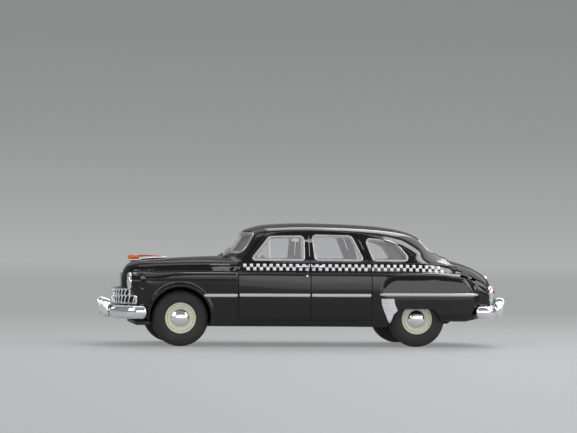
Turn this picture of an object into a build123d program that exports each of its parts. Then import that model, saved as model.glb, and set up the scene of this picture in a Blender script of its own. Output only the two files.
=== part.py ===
"""Scale model of a long 1950s saloon taxi, 1:43, about 128 mm from bumper to bumper.

The model is built as such models are: one cast body shell with its panel lines engraved, a moulded
base plate screwed under it, a cabin tub with seats, clear panes, plated trim, and two steel axles
that carry pressed-on wheels and turn in the base plate.

Millimetres. +X points to the tail, the front faces -X, +Z is up, the floor is z = 0 and the origin is
under the middle of the model. Every left piece is mirrored in the plane y = 0.
"""

import math
import os

from build123d import *

# Overall sizes and the places of the wheels
FRONT_X = -64.3
REAR_X = 64.3
HALF_WIDTH = 22.1
FRONT_AXLE_X = -40.0
REAR_AXLE_X = 34.4
TYRE_R = 8.8
TYRE_HALF_W = 2.2
RIM_R = 5.05
CAP_R = 2.75
TRACK_HALF = 17.2
AXLE_R = 0.8
AXLE_PLAY = 0.05

# The casting
WALL = 1.0
CABIN_WALL = 0.9
GROOVE_W = 0.26
GROOVE_DEPTH = 0.3
DOOR_LINES_X = (-22.2, 0.5, 19.8)
DOOR_BOTTOM_Z = 8.4
ARCH_R = 9.5
ARCH_Z = 9.0

# Panes and their plated frames
PANE_OUT = 0.3
PANE_IN = 0.8
FRAME_W = 0.45
FRAME_PROUD = 0.12

# Base plate, its axle cradles and the two threaded holes for a display stand
PLATE_Z = 5.4
PLATE_T = 1.0
CRADLE_Y = 11.0
SCREW_X = (-22.0, 20.0)
SCREW_R = 1.05
SCREW_DEPTH = 4.2
POST_X = (-28.0, 50.0)

# Sections of the three lofted volumes. Each row is
# (x, base half width, base z, corner half width, corner z, crown z, corner radius, side bulge).
LOWER_BODY = (
    (-59.6, 16.2, 12.4, 17.2, 21.0, 21.4, 2.6, 0.3),
    (-55.3, 17.8, 11.2, 19.0, 22.2, 22.5, 2.6, 0.3),
    (-50.0, 19.4, 8.6, 20.4, 22.6, 22.9, 2.6, 0.5),
    (-40.0, 20.2, 6.6, 21.2, 22.8, 23.1, 2.3, 0.5),
    (-30.0, 20.2, 6.5, 21.2, 22.8, 23.1, 2.2, 0.5),
    (0.0, 20.2, 6.5, 21.0, 22.8, 23.1, 2.0, 0.6),
    (20.0, 20.2, 6.5, 20.9, 22.8, 23.1, 2.0, 0.5),
    (35.0, 20.0, 7.2, 20.6, 22.8, 23.1, 2.0, 0.5),
    (47.0, 19.2, 8.0, 19.8, 22.0, 22.4, 2.2, 0.4),
    (54.0, 17.8, 8.9, 18.6, 20.4, 21.0, 2.6, 0.3),
    (58.2, 16.0, 10.2, 16.8, 18.4, 19.4, 2.8, 0.3),
)
UPPER_BODY = (
    (-58.6, 3.2, 13.2, 3.0, 17.9, 18.6, 1.4, 0.1),
    (-57.1, 4.2, 13.2, 3.8, 21.2, 22.1, 2.0, 0.1),
    (-56.3, 5.4, 13.2, 5.0, 22.9, 23.8, 2.4, 0.2),
    (-54.9, 6.8, 13.2, 6.2, 24.5, 25.4, 2.8, 0.2),
    (-52.0, 8.6, 13.2, 7.9, 25.3, 26.4, 3.2, 0.2),
    (-46.0, 10.8, 13.2, 9.9, 25.5, 26.9, 3.4, 0.2),
    (-38.0, 12.8, 13.2, 11.8, 25.8, 27.5, 3.6, 0.2),
    (-30.0, 15.2, 13.2, 14.0, 26.0, 27.9, 3.4, 0.2),
    (-24.0, 18.4, 13.2, 17.2, 26.0, 28.1, 2.6, 0.2),
    (-18.0, 20.0, 13.2, 18.9, 26.4, 27.8, 1.2, 0.2),
    (0.0, 20.2, 13.2, 19.1, 26.5, 27.6, 1.0, 0.2),
    (20.0, 20.2, 13.2, 19.1, 26.5, 27.6, 1.0, 0.2),
    (34.0, 19.6, 13.2, 18.2, 26.3, 28.2, 2.4, 0.2),
    (44.0, 18.3, 13.2, 16.6, 25.5, 27.8, 3.6, 0.2),
    (51.0, 17.0, 13.2, 15.2, 23.8, 26.2, 4.4, 0.2),
    (56.0, 15.8, 13.2, 13.8, 21.8, 24.2, 4.8, 0.2),
    (59.2, 14.6, 13.2, 12.2, 19.4, 22.0, 4.6, 0.2),
    (60.6, 12.6, 13.2, 10.6, 17.4, 19.4, 3.8, 0.2),
)
GREENHOUSE = (
    (-27.0, 18.2, 24.0, 14.6, 31.8, 32.6, 2.2, 0.2),
    (-19.0, 18.9, 24.0, 15.0, 34.8, 36.1, 2.6, 0.2),
    (-12.0, 19.1, 24.0, 15.2, 36.0, 38.0, 3.0, 0.2),
    (0.0, 19.2, 24.0, 15.3, 36.3, 38.6, 3.2, 0.2),
    (12.0, 19.2, 24.0, 15.3, 36.1, 38.4, 3.2, 0.2),
    (22.0, 18.9, 24.0, 15.0, 35.5, 37.9, 3.4, 0.2),
    (30.0, 18.2, 24.0, 14.2, 34.4, 36.9, 3.8, 0.2),
    (36.0, 17.2, 24.0, 13.0, 32.4, 35.1, 4.0, 0.2),
    (40.5, 16.0, 24.0, 11.8, 29.2, 31.6, 3.6, 0.2),
    (44.5, 14.6, 24.0, 11.4, 26.2, 27.8, 1.6, 0.2),
)

# The hollow under the skin as (low z, high z, plan of its left half as x and half width)
HOLLOW = (
    (2.0, 21.6, ((-54.0, 16.2), (-48.0, 18.6), (-40.0, 19.1), (20.0, 19.1), (24.0, 19.9), (45.0, 19.9),
                 (48.0, 17.8), (54.0, 15.8))),
    (2.0, 12.3, ((-56.5, 12.6), (59.0, 12.6))),
    (21.5, 24.8, ((-52.5, 5.6), (-46.0, 9.0), (-30.0, 13.0), (-20.0, 16.5))),
    (21.5, 23.0, ((36.0, 16.4), (46.0, 14.4), (52.0, 12.4))),
    (21.5, 24.1, ((-20.5, 17.7), (25.0, 17.7), (42.0, 15.0))),
)

# The nose is an arc in plan, which the grille follows
NOSE_R = 32.5
NOSE_X = -60.2

# The windscreen is an arc in plan that leans back from its base to its top
SCREEN_BASE = (-24.6, 28.0)
SCREEN_TOP = (-18.4, 36.2)
SCREEN_R = 34.0

# Side windows seen from the side, each corner as (x, z, corner radius)
SIDE_WINDOWS = (
    ((-18.6, 26.7, 0.9), (-12.2, 34.4, 1.8), (-0.9, 34.7, 1.5), (-1.1, 26.7, 1.1)),
    ((2.1, 26.7, 1.2), (1.4, 35.0, 1.3), (14.1, 34.8, 2.0), (17.9, 26.7, 1.0)),
    ((20.6, 26.7, 1.2), (18.0, 34.2, 1.3), (27.4, 33.4, 4.0), (32.8, 26.7, 1.2)),
)
VENT_BAR_X = -12.0

# Rear wing seen from the side, each corner as (x, z, corner radius)
REAR_WING = (
    (25.2, 7.6, 0.5), (22.2, 15.6, 4.0), (22.6, 22.6, 4.6), (40.0, 23.5, 6.0), (51.2, 22.4, 5.0),
    (55.4, 14.6, 5.0), (53.6, 8.4, 1.6), (50.0, 8.1, 3.0), (40.0, 8.1, 0.6),
)
REAR_WING_ARCH = (
    (24.2, 4.0, 0.3), (28.2, 12.0, 2.2), (39.7, 12.0, 2.0), (42.2, 7.6, 0.6), (42.2, 4.0, 0.3),
)
REAR_WING_Y = 21.7


def resample(rows, step):
    """The same table at even steps of x, with a monotone cubic between the given rows."""
    xs = [row[0] for row in rows]
    gaps = [b - a for a, b in zip(xs, xs[1:])]
    count = max(2, round((xs[-1] - xs[0]) / step))
    places = [xs[0] + (xs[-1] - xs[0]) * i / count for i in range(count + 1)]
    columns = [places]
    for k in range(1, len(rows[0])):
        values = [row[k] for row in rows]
        rises = [(b - a) / g for a, b, g in zip(values, values[1:], gaps)]
        slopes = [rises[0]]
        for i in range(1, len(rises)):
            r0, r1, g0, g1 = rises[i - 1], rises[i], gaps[i - 1], gaps[i]
            if r0 * r1 <= 0:
                slopes.append(0.0)
            else:
                slopes.append(3 * (g0 + g1) / ((2 * g1 + g0) / r0 + (g1 + 2 * g0) / r1))
        slopes.append(rises[-1])
        column = []
        for x in places:
            i = max(j for j in range(len(gaps)) if x >= xs[j] - 1e-9)
            t = (x - xs[i]) / gaps[i]
            h00 = (1 + 2 * t) * (1 - t) ** 2
            h10 = t * (1 - t) ** 2
            h01 = t * t * (3 - 2 * t)
            h11 = t * t * (t - 1)
            low = h00 * values[i] + h10 * gaps[i] * slopes[i]
            column.append(low + h01 * values[i + 1] + h11 * gaps[i] * slopes[i + 1])
        columns.append(column)
    return tuple(zip(*columns))


def half_section(row, inset=0.0):
    """The left half of one closed outline across the car, its foot flat and its corner rounded."""
    x, base_y, base_z, corner_y, corner_z, crown_z, radius, bulge = row
    foot = (inset - base_y, base_z)
    corner = (inset - corner_y, corner_z - inset)
    belly = ((foot[0] + corner[0]) / 2 - bulge, (foot[1] + corner[1]) / 2)
    rise = crown_z - corner_z
    arc_r = (corner_y**2 + rise**2) / (2 * rise)
    middle_y = corner[0] / 2
    middle_z = crown_z - inset - arc_r + math.sqrt(arc_r**2 - middle_y**2)
    with BuildSketch(Plane.YZ.offset(x)) as outline:
        with BuildLine():
            Polyline((0, crown_z - inset), (0, foot[1]), foot)
            ThreePointArc(foot, belly, corner)
            ThreePointArc(corner, (middle_y, middle_z), (0, crown_z - inset))
        make_face()
        fillet(outline.vertices().sort_by_distance(Vector(corner[0], corner[1], 0))[0],
               max(radius - inset, 0.4))
    return outline.sketch.face()


def half_loft(rows, step, inset=0.0, squeeze=1.0):
    """The left half of a volume lofted through a table, inset from its skin."""
    table = [(row[0] * squeeze,) + tuple(row[1:]) for row in resample(rows, step)]
    with BuildPart() as volume:
        loft([half_section(row, inset) for row in table])
    return volume.part


def rounded(corners, plane, grow=0.0):
    """A closed outline on a plane with each corner rounded by its own radius."""
    with BuildSketch(plane) as outline:
        with BuildLine():
            Polyline([(a, b) for a, b, _ in corners], close=True)
        make_face()
        for a, b, r in corners:
            near = outline.vertices().sort_by_distance(Vector(a, b, 0))[0]
            fillet(near, r)
        if grow:
            offset(amount=grow, kind=Kind.ARC)
    return outline.sketch


def plan_arc(front_x, radius, low, high):
    """Everything behind an upright arc in plan."""
    with BuildPart() as block:
        with BuildSketch(Plane.XY.offset(low)):
            with BuildLine():
                half = 26.0
                edge = front_x + radius - math.sqrt(radius**2 - half**2)
                ThreePointArc((edge, -half), (front_x, 0), (edge, half))
                Polyline((edge, half), (70, half), (70, -half), (edge, -half))
            make_face()
        extrude(amount=high - low)
    return block.part


def behind_screen(setback):
    """Everything behind the leaning windscreen surface, moved back by setback."""
    low = 20.0
    high = 42.0
    slope = (SCREEN_TOP[0] - SCREEN_BASE[0]) / (SCREEN_TOP[1] - SCREEN_BASE[1])
    x_low = SCREEN_BASE[0] + (low - SCREEN_BASE[1]) * slope + setback
    half = 24.0
    edge = x_low + SCREEN_R - math.sqrt(SCREEN_R**2 - half**2)
    with BuildPart() as block:
        with BuildSketch(Plane.XY.offset(low)) as outline:
            with BuildLine():
                ThreePointArc((edge, -half), (x_low, 0), (edge, half))
                Polyline((edge, half), (70, half), (70, -half), (edge, -half))
            make_face()
        lean = Vector(slope, 0, 1)
        extrude(outline.sketch, amount=(high - low) * lean.length, dir=lean)
    return block.part


def cabin(inset):
    """The left half of the greenhouse with its windscreen, inset from its outer skin."""
    step = 4.0 if inset <= 0 else 6.0
    with BuildPart() as volume:
        add(half_loft(GREENHOUSE, step, inset, 1.0 - inset / 42.0))
        add(behind_screen(inset), mode=Mode.INTERSECT)
    return volume.part


def both(*pieces):
    """The given left pieces and their mirror images."""
    return list(pieces) + [mirror(piece, about=Plane.XZ, mode=Mode.PRIVATE) for piece in pieces]


def side_cut(low, high, boxes):
    """Boxes given as (x start, x end, z start, z end) that span y from low to high."""
    with BuildPart() as cut:
        for x0, x1, z0, z1 in boxes:
            with Locations(((x0 + x1) / 2, (low + high) / 2, (z0 + z1) / 2)):
                Box(x1 - x0, high - low, z1 - z0)
    return cut.part


def tube_y(x, z, radius, low, high):
    """A round bar across the car."""
    with BuildPart() as bar:
        with Locations(Location((x, (low + high) / 2, z), (90, 0, 0))):
            Cylinder(radius, high - low)
    return bar.part


def tube_x(y, z, radius, low, high):
    """A round bar along the car."""
    with BuildPart() as bar:
        with Locations(Location(((low + high) / 2, y, z), (0, 90, 0))):
            Cylinder(radius, high - low)
    return bar.part


def front_view(corners, low, high, grow=0.0):
    """A rounded outline in the YZ plane, extruded from x low to x high."""
    with BuildPart() as block:
        extrude(rounded(corners, Plane.YZ.offset(low), grow), amount=high - low)
    return block.part


def side_view(corners, near, far, grow=0.0):
    """A rounded outline in the XZ plane, extruded from y = -near to y = -far."""
    with BuildPart() as block:
        extrude(rounded(corners, Plane.XZ.offset(near), grow), amount=far - near)
    return block.part


lower_skin = half_loft(LOWER_BODY, 4.0)
upper_skin = half_loft(UPPER_BODY, 4.0)
roof_skin = cabin(0.0)
cabin_proud = cabin(-FRAME_PROUD)
cabin_pane_out = cabin(PANE_OUT)
cabin_pane_in = cabin(PANE_IN)

SCREEN_OUTLINE = ((-15.2, 28.9, 1.8), (-13.2, 35.3, 1.4), (13.2, 35.3, 1.4), (15.2, 28.9, 1.8))
REAR_WINDOW = ((-11.0, 29.4, 1.6), (-9.4, 33.6, 1.6), (9.4, 33.6, 1.6), (11.0, 29.4, 1.6))

os.makedirs("parts", exist_ok=True)

# Left half of the body's outer form
with BuildPart() as wing:
    extrude(rounded(REAR_WING, Plane.XZ.offset(15)), amount=REAR_WING_Y - 15)
    with BuildSketch(Plane.XY.offset(6.0)):
        with BuildLine():
            ThreePointArc((42.0, -REAR_WING_Y), (49.0, -REAR_WING_Y + 0.8), (56.0, -REAR_WING_Y + 3.2))
            Polyline((56.0, -REAR_WING_Y + 3.2), (60.0, -24.0), (42.0, -24.0), (42.0, -REAR_WING_Y))
        make_face()
    extrude(amount=20.0, mode=Mode.SUBTRACT)
    fillet(wing.faces().sort_by(Axis.Y)[0].edges().group_by(Axis.X)[:-1], 1.2)
with BuildPart() as form:
    add(lower_skin)
    add(plan_arc(NOSE_X + 0.9, NOSE_R, 2, 26), mode=Mode.INTERSECT)
    add(upper_skin)
    add(roof_skin)
    add(wing.part)
    add(tube_x(-17.0, 20.1, 2.75, -55.2, -47.0))

form_both = both(form.part)

# The hollow under the skin: chassis bay, bonnet, boot and cabin
with BuildPart() as hollow:
    for z0, z1, plan in HOLLOW:
        with BuildSketch(Plane.XY.offset(z0)):
            with BuildLine():
                Polyline([(x, -y) for x, y in plan] + [(plan[-1][0], 1), (plan[0][0], 1)], close=True)
            make_face()
        extrude(amount=z1 - z0)
    add(cabin(CABIN_WALL))
    for x in POST_X:
        with Locations((x, 0, 16.0)):
            Cylinder(2.2, 19.2, mode=Mode.SUBTRACT)

with BuildPart() as grooves:
    for x in DOOR_LINES_X:
        with BuildSketch(Plane.YZ.offset(x - GROOVE_W / 2)):
            with Locations((-18, 17.5)):
                Rectangle(10, 18.2)
            for rows in (LOWER_BODY, UPPER_BODY):
                table = resample(rows, 0.5)
                row = min(table, key=lambda r: abs(r[0] - x))
                add(half_section((x - GROOVE_W / 2,) + tuple(row[1:]), GROOVE_DEPTH), mode=Mode.SUBTRACT)
        extrude(amount=GROOVE_W)
    low = DOOR_BOTTOM_Z
    add(side_cut(-26, -20.15, [(DOOR_LINES_X[0], DOOR_LINES_X[-1], low - GROOVE_W / 2, low + GROOVE_W / 2)]))

with BuildPart() as left_shell:
    add(form.part)
    add(hollow.part, mode=Mode.SUBTRACT)
    for corners in SIDE_WINDOWS:
        add(side_view(corners, 5, 26), mode=Mode.SUBTRACT)
    add(tube_y(-40.2, ARCH_Z, ARCH_R, -26, 1), mode=Mode.SUBTRACT)
    add(side_view(REAR_WING_ARCH, -1, 26), mode=Mode.SUBTRACT)
    add(front_view(SCREEN_OUTLINE, -32, -8), mode=Mode.SUBTRACT)
    add(front_view(REAR_WINDOW, 30, 50), mode=Mode.SUBTRACT)
    add(grooves.part, mode=Mode.SUBTRACT)
with BuildPart() as body_shell:
    add(both(left_shell.part))
    for x in POST_X:
        with Locations((x, 0, 10.4)):
            Cylinder(0.8, 8.0, mode=Mode.SUBTRACT)
body_shell.part.label = "body_shell"

# Bumpers
def bumper(front_x, radius, low, high, corner_y, end_x, end_y, direction):
    """A bowed blade with its ends swept back round the wings."""
    edge = front_x + direction * (radius - math.sqrt(radius**2 - corner_y**2))
    inner = front_x + direction * 1.5
    inner_edge = edge + direction * 1.9
    with BuildPart() as blade:
        with BuildSketch(Plane.XY.offset(low)):
            with BuildLine():
                arc = ThreePointArc((edge, -corner_y), (front_x, 0), (edge, corner_y))
                TangentArc((edge, corner_y), (end_x, end_y), tangent=arc % 1)
                TangentArc((edge, -corner_y), (end_x, -end_y), tangent=(arc % 0) * -1)
                ThreePointArc((inner_edge, -corner_y + 0.6), (inner, 0), (inner_edge, corner_y - 0.6))
                Polyline((end_x, end_y), (end_x, end_y - 1.1), (inner_edge, corner_y - 0.6))
                Polyline((end_x, -end_y), (end_x, 1.1 - end_y), (inner_edge, 0.6 - corner_y))
            make_face()
        extrude(amount=high - low)
    return blade.part


with BuildPart() as front_bumper:
    add(bumper(-62.9, 34.0, 8.6, 12.6, 17.6, -51.6, 21.3, 1))
front_bumper.part.label = "front_bumper"
with BuildPart() as rear_bumper:
    add(bumper(62.7, 60.0, 9.2, 12.9, 18.2, 53.7, 21.2, -1))
rear_bumper.part.label = "rear_bumper"

# Base plate with the chassis in relief
with BuildPart() as base_plate:
    with BuildSketch(Plane.XY.offset(PLATE_Z)):
        with Locations((0.5, 0)):
            RectangleRounded(109, 37.0, 4.0)
        for x in (FRONT_AXLE_X, REAR_AXLE_X):
            for side in (-1, 1):
                with Locations((x, 19.4 * side)):
                    Rectangle(19.6, 10.0, mode=Mode.SUBTRACT)
    extrude(amount=PLATE_T)
    for side in (-1, 1):
        with Locations((0.5, 9.0 * side, PLATE_Z - 0.4)):
            Box(106, 2.0, 1.0)
        for x in (FRONT_AXLE_X, REAR_AXLE_X):
            with Locations((x, CRADLE_Y * side, 8.2)):
                Box(4.6, 2.2, 4.6)
    with Locations((-45.0, 0, PLATE_Z - 0.9)):
        Box(15.0, 7.0, 2.0)
    with Locations((-30.5, 0, PLATE_Z - 0.7)):
        Box(10.0, 5.0, 1.6)
    add(tube_x(0, PLATE_Z - 0.2, 0.9, -26, 33))
    with Locations((REAR_AXLE_X, 0, PLATE_Z - 0.2)):
        Sphere(2.4)
    add(tube_y(REAR_AXLE_X, PLATE_Z - 0.1, 1.1, -12, 12))
    for x in SCREW_X:
        with Locations((x, 0, PLATE_Z + 2.4)):
            Cylinder(2.4, 5.4)
    for x in SCREW_X:
        with Locations((x, 0, PLATE_Z - 0.6)):
            Cylinder(2.4, 1.6)
    for x in SCREW_X:
        with Locations((x, 0, PLATE_Z - 1.4 + SCREW_DEPTH / 2)):
            Cylinder(SCREW_R, SCREW_DEPTH, mode=Mode.SUBTRACT)
    for x in POST_X:
        with Locations((x, 0, PLATE_Z)):
            Cylinder(1.05, 8.0, mode=Mode.SUBTRACT)
        with Locations((x, 0, PLATE_Z - 1.5)):
            Cylinder(1.9, 3.0, mode=Mode.SUBTRACT)
    for x in (FRONT_AXLE_X, REAR_AXLE_X):
        add(tube_y(x, TYRE_R, AXLE_R + AXLE_PLAY, -14, 14), mode=Mode.SUBTRACT)
    for side in (-1, 1):
        with Locations((-56.6, 11.0 * side, 10.0)):
            Box(7.6, 1.6, 1.2)
        with Locations((-53.4, 11.0 * side, 8.0)):
            Box(1.2, 1.6, 4.4)
        with Locations((56.9, 11.0 * side, 9.75)):
            Box(8.2, 1.6, 1.1)
        with Locations((53.4, 11.0 * side, 8.1)):
            Box(1.2, 1.6, 4.4)
    add([front_bumper.part, rear_bumper.part], mode=Mode.SUBTRACT)
base_plate.part.label = "base_plate"

# Two screws that hold the base plate to the posts of the shell
with BuildPart() as base_screws:
    for x in POST_X:
        with Locations((x, 0, PLATE_Z - 0.55)):
            Cylinder(1.7, 1.1)
        with Locations((x, 0, PLATE_Z + 4.0)):
            Cylinder(0.78, 8.0)
        with Locations((x, 0, PLATE_Z - 1.0)):
            Box(2.4, 0.4, 0.6, mode=Mode.SUBTRACT)
            Box(0.4, 2.4, 0.6, mode=Mode.SUBTRACT)
base_screws.part.label = "base_screws"

# Exhaust pipe and silencer under the plate
with BuildPart() as exhaust:
    add(tube_x(6.2, 3.5, 0.6, -18, 60))
    add(tube_x(6.2, 4.0, 1.4, 2, 16))
exhaust.part.label = "exhaust"

# Cabin tub with door cards, parcel shelf and the dashboard
with BuildPart() as interior_tub:
    with BuildSketch(Plane.XY.offset(10.6)):
        with Locations((2.0, 0)):
            Rectangle(44.0, 34.6)
        with Locations((32.0, 0)):
            Rectangle(18.0, 28.6)
    extrude(amount=13.4)
    with BuildSketch(Plane.XY.offset(11.4)):
        with Locations((2.3, 0)):
            Rectangle(41.8, 33.0)
        with Locations((29.0, 0)):
            Rectangle(14.0, 27.0)
    extrude(amount=14.0, mode=Mode.SUBTRACT)
interior_tub.part.label = "interior_tub"

with BuildPart() as dashboard:
    with BuildSketch(Plane.XZ.offset(-15.6)):
        with BuildLine():
            Polyline((-18.4, 18), (-18.4, 25.4), (-16.2, 25.6), (-15.2, 24.4), (-15.6, 18), close=True)
        make_face()
    extrude(amount=31.2)
dashboard.part.label = "dashboard"

with BuildPart() as front_seat:
    with BuildSketch(Plane.XZ.offset(-15.0)) as outline:
        with BuildLine():
            Polyline((-9.5, 11.4), (-10.2, 16.6), (-1.2, 16.0), (1.2, 24.6), (3.4, 24.6), (2.6, 11.4),
                     close=True)
        make_face()
        fillet(outline.vertices().group_by(Axis.Y)[1:], 0.9)
    extrude(amount=30.0)
front_seat.part.label = "front_seat"

with BuildPart() as rear_seat:
    with BuildSketch(Plane.XZ.offset(-13.2)) as outline:
        with BuildLine():
            Polyline((22.6, 11.4), (22.0, 17.2), (30.4, 16.6), (33.0, 25.4), (35.4, 25.4), (35.4, 11.4),
                     close=True)
        make_face()
        fillet(outline.vertices().group_by(Axis.Y)[1:], 0.9)
    extrude(amount=26.4)
rear_seat.part.label = "rear_seat"

WHEEL_CENTRE = (-11.0, -8.0, 24.2)
with BuildPart() as steering_wheel:
    with BuildSketch(Plane(WHEEL_CENTRE, z_dir=(-0.86, 0, -0.5)).offset(0)):
        Circle(4.8)
        Circle(4.2, mode=Mode.SUBTRACT)
        Rectangle(8.6, 0.6)
        Circle(0.9)
    extrude(amount=0.5)
    with Locations(Plane(WHEEL_CENTRE, z_dir=(-0.86, 0, -0.5))):
        Cylinder(0.45, 4.6, align=(Align.CENTER, Align.CENTER, Align.MIN))
steering_wheel.part.label = "steering_wheel"

# Panes and frames of the side windows
with BuildPart() as pane_band:
    add(cabin_pane_out)
    add(cabin_pane_in, mode=Mode.SUBTRACT)
with BuildPart() as frame_band:
    add(cabin_proud)
    add(cabin_pane_in, mode=Mode.SUBTRACT)
panes = []
frames = []
for corners in SIDE_WINDOWS:
    with BuildPart() as pane:
        add(side_view(corners, 12, 26, -FRAME_W))
        add(pane_band.part, mode=Mode.INTERSECT)
    with BuildPart() as frame:
        add(side_view(corners, 12, 26))
        add(side_view(corners, 11, 27, -FRAME_W), mode=Mode.SUBTRACT)
        add(frame_band.part, mode=Mode.INTERSECT)
    panes.append(pane.part)
    frames.append(frame.part)
with BuildPart() as vent_bar:
    with Locations((VENT_BAR_X, -19, 30.5)):
        Box(0.5, 14, 7.0)
    add(side_view(SIDE_WINDOWS[0], 11, 27, -FRAME_W), mode=Mode.INTERSECT)
    add(cabin_proud, mode=Mode.INTERSECT)
    add(cabin_pane_out, mode=Mode.SUBTRACT)
with BuildPart() as side_panes:
    add(both(*panes))
side_panes.part.label = "side_panes"
with BuildPart() as side_window_frames:
    add(both(*frames, vent_bar.part))
side_window_frames.part.label = "side_window_frames"

with BuildPart() as windscreen:
    add(front_view(SCREEN_OUTLINE, -32, -8, -FRAME_W))
    add(behind_screen(PANE_OUT), mode=Mode.INTERSECT)
    add(behind_screen(PANE_IN), mode=Mode.SUBTRACT)
windscreen.part.label = "windscreen"
with BuildPart() as windscreen_frame:
    add(front_view(SCREEN_OUTLINE, -32, -8))
    add(front_view(SCREEN_OUTLINE, -33, -7, -FRAME_W), mode=Mode.SUBTRACT)
    add(behind_screen(-FRAME_PROUD), mode=Mode.INTERSECT)
    add(behind_screen(PANE_IN), mode=Mode.SUBTRACT)
windscreen_frame.part.label = "windscreen_frame"
with BuildPart() as left_rear_pane:
    add(front_view(REAR_WINDOW, 30, 50, -FRAME_W))
    add(pane_band.part, mode=Mode.INTERSECT)
with BuildPart() as rear_window:
    add(both(left_rear_pane.part))
rear_window.part.label = "rear_window"
with BuildPart() as left_rear_frame:
    add(front_view(REAR_WINDOW, 30, 50))
    add(front_view(REAR_WINDOW, 29, 51, -FRAME_W), mode=Mode.SUBTRACT)
    add(frame_band.part, mode=Mode.INTERSECT)
with BuildPart() as rear_window_frame:
    add(both(left_rear_frame.part))
rear_window_frame.part.label = "rear_window_frame"

# Plated side strips
with BuildPart() as strip:
    for x0, x1, z0 in ((-33.0, -22.4, 15.4), (-22.0, 0.3, 15.5), (0.7, 19.6, 15.5)):
        with BuildSketch(Plane.XY.offset(z0)):
            with BuildLine():
                Polyline((x0, -20.6), (x0, -21.5), (x1, -21.5), (x1, -20.6), close=True)
            make_face()
        extrude(amount=1.2)
    add(lower_skin, mode=Mode.SUBTRACT)
with BuildPart() as wing_strip:
    with BuildSketch(Plane.XZ.offset(REAR_WING_Y)):
        with BuildLine():
            Polyline((22.6, 16.3), (24.0, 15.8), (53.0, 15.8), (53.6, 16.5), (53.0, 17.1), (24.0, 17.1),
                     close=True)
        make_face()
    extrude(amount=0.4)
with BuildPart() as side_strips:
    add(both(strip.part, wing_strip.part))
side_strips.part.label = "side_strips"

with BuildPart() as stone_guards:
    with BuildPart(mode=Mode.PRIVATE) as guard:
        with BuildSketch(Plane.XZ.offset(REAR_WING_Y)):
            with BuildLine():
                Polyline((23.6, 15.2), (26.6, 15.2), (26.9, 13.6), (28.0, 12.2), (26.6, 8.8),
                         (25.9, 8.6), (24.4, 11.5), close=True)
            make_face()
        extrude(amount=0.2)
    add(both(guard.part))
stone_guards.part.label = "stone_guards"

with BuildPart() as headlamp_rims:
    for side in (-1, 1):
        add(tube_x(17.0 * side, 20.1, 2.75, -56.6, -55.2))
    for side in (-1, 1):
        add(tube_x(17.0 * side, 20.1, 2.1, -57, -55), mode=Mode.SUBTRACT)
    add(form_both, mode=Mode.SUBTRACT)
headlamp_rims.part.label = "headlamp_rims"
with BuildPart() as headlamp_lenses:
    for side in (-1, 1):
        with BuildPart(mode=Mode.PRIVATE) as lens:
            with Locations((-53.3, 17.0 * side, 20.1)):
                Sphere(3.7)
            add(tube_x(17.0 * side, 20.1, 2.1, -58, -55.2), mode=Mode.INTERSECT)
        add(lens.part)
    add(form_both, mode=Mode.SUBTRACT)
headlamp_lenses.part.label = "headlamp_lenses"


# Grille, an arc in plan with two rows of slots
with BuildPart() as grille:
    add(plan_arc(NOSE_X, NOSE_R, 13.0, 17.8))
    add(plan_arc(NOSE_X + 0.9, NOSE_R, 12.0, 19.0), mode=Mode.SUBTRACT)
    with Locations((-55, 0, 15.4)):
        Box(20, 32.4, 6, mode=Mode.INTERSECT)
    for z in (14.5, 16.6):
        for i in range(15):
            with Locations((-58, (i - 7) * 2.05, z)):
                Box(12, 1.35, 1.6, mode=Mode.SUBTRACT)
    add(headlamp_rims.part, mode=Mode.SUBTRACT)
grille.part.label = "grille"

with BuildPart() as front_overriders:
    for side in (-1, 1):
        with BuildSketch(Plane.XZ.offset(-9.0 * side - 1.0)):
            with BuildLine():
                Polyline((-64.3, 13.6), (-63.9, 14.5), (-62.3, 14.6), (-61.0, 13.4), (-61.8, 12.6),
                         (-61.8, 8.6), (-63.2, 8.9), (-63.8, 10.1), close=True)
            make_face()
        extrude(amount=2.0)
    add(front_bumper.part, mode=Mode.SUBTRACT)
front_overriders.part.label = "front_overriders"
with BuildPart() as rear_overriders:
    for side in (-1, 1):
        with BuildSketch(Plane.XZ.offset(-10.0 * side - 1.0)):
            with BuildLine():
                Polyline((61.0, 13.4), (61.0, 14.9), (62.2, 15.3), (63.9, 15.1), (64.3, 14.0),
                         (63.9, 12.6), (63.6, 9.6), (61.6, 9.2), (61.6, 13.0), close=True)
            make_face()
        extrude(amount=2.0)
    add(rear_bumper.part, mode=Mode.SUBTRACT)
rear_overriders.part.label = "rear_overriders"

# Bonnet ornament, a red block with a plated fin behind it
with BuildPart() as bonnet_ornament:
    with BuildSketch(Plane.XZ.offset(-0.5)):
        with BuildLine():
            Polyline((-54.6, 26.4), (-54.4, 28.0), (-51.4, 27.9), (-51.2, 26.9), close=True)
        make_face()
    extrude(amount=1.0)
    add(form_both, mode=Mode.SUBTRACT)
bonnet_ornament.part.label = "bonnet_ornament"
with BuildPart() as ornament_fin:
    with BuildSketch(Plane.XZ.offset(-0.4)):
        with BuildLine():
            Polyline((-51.2, 26.0), (-51.2, 27.8), (-43.0, 27.5), (-42.6, 26.6), close=True)
        make_face()
    extrude(amount=0.8)
    add(form_both, mode=Mode.SUBTRACT)
ornament_fin.part.label = "ornament_fin"

with BuildPart() as tail_lamp_housings:
    for side in (-1, 1):
        with Locations((57.6, 15.6 * side, 16.0)):
            Box(4.0, 2.6, 5.4)
    add(form_both, mode=Mode.SUBTRACT)
    with Locations((58.4, 15.6, 17.0), (58.4, -15.6, 17.0)):
        Box(4.0, 1.6, 2.4, mode=Mode.SUBTRACT)
tail_lamp_housings.part.label = "tail_lamp_housings"
with BuildPart() as tail_lenses:
    for side in (-1, 1):
        with Locations((58.6, 15.6 * side, 17.0)):
            Box(2.4, 1.6, 2.4)
    add(form_both, mode=Mode.SUBTRACT)
tail_lenses.part.label = "tail_lenses"

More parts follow.
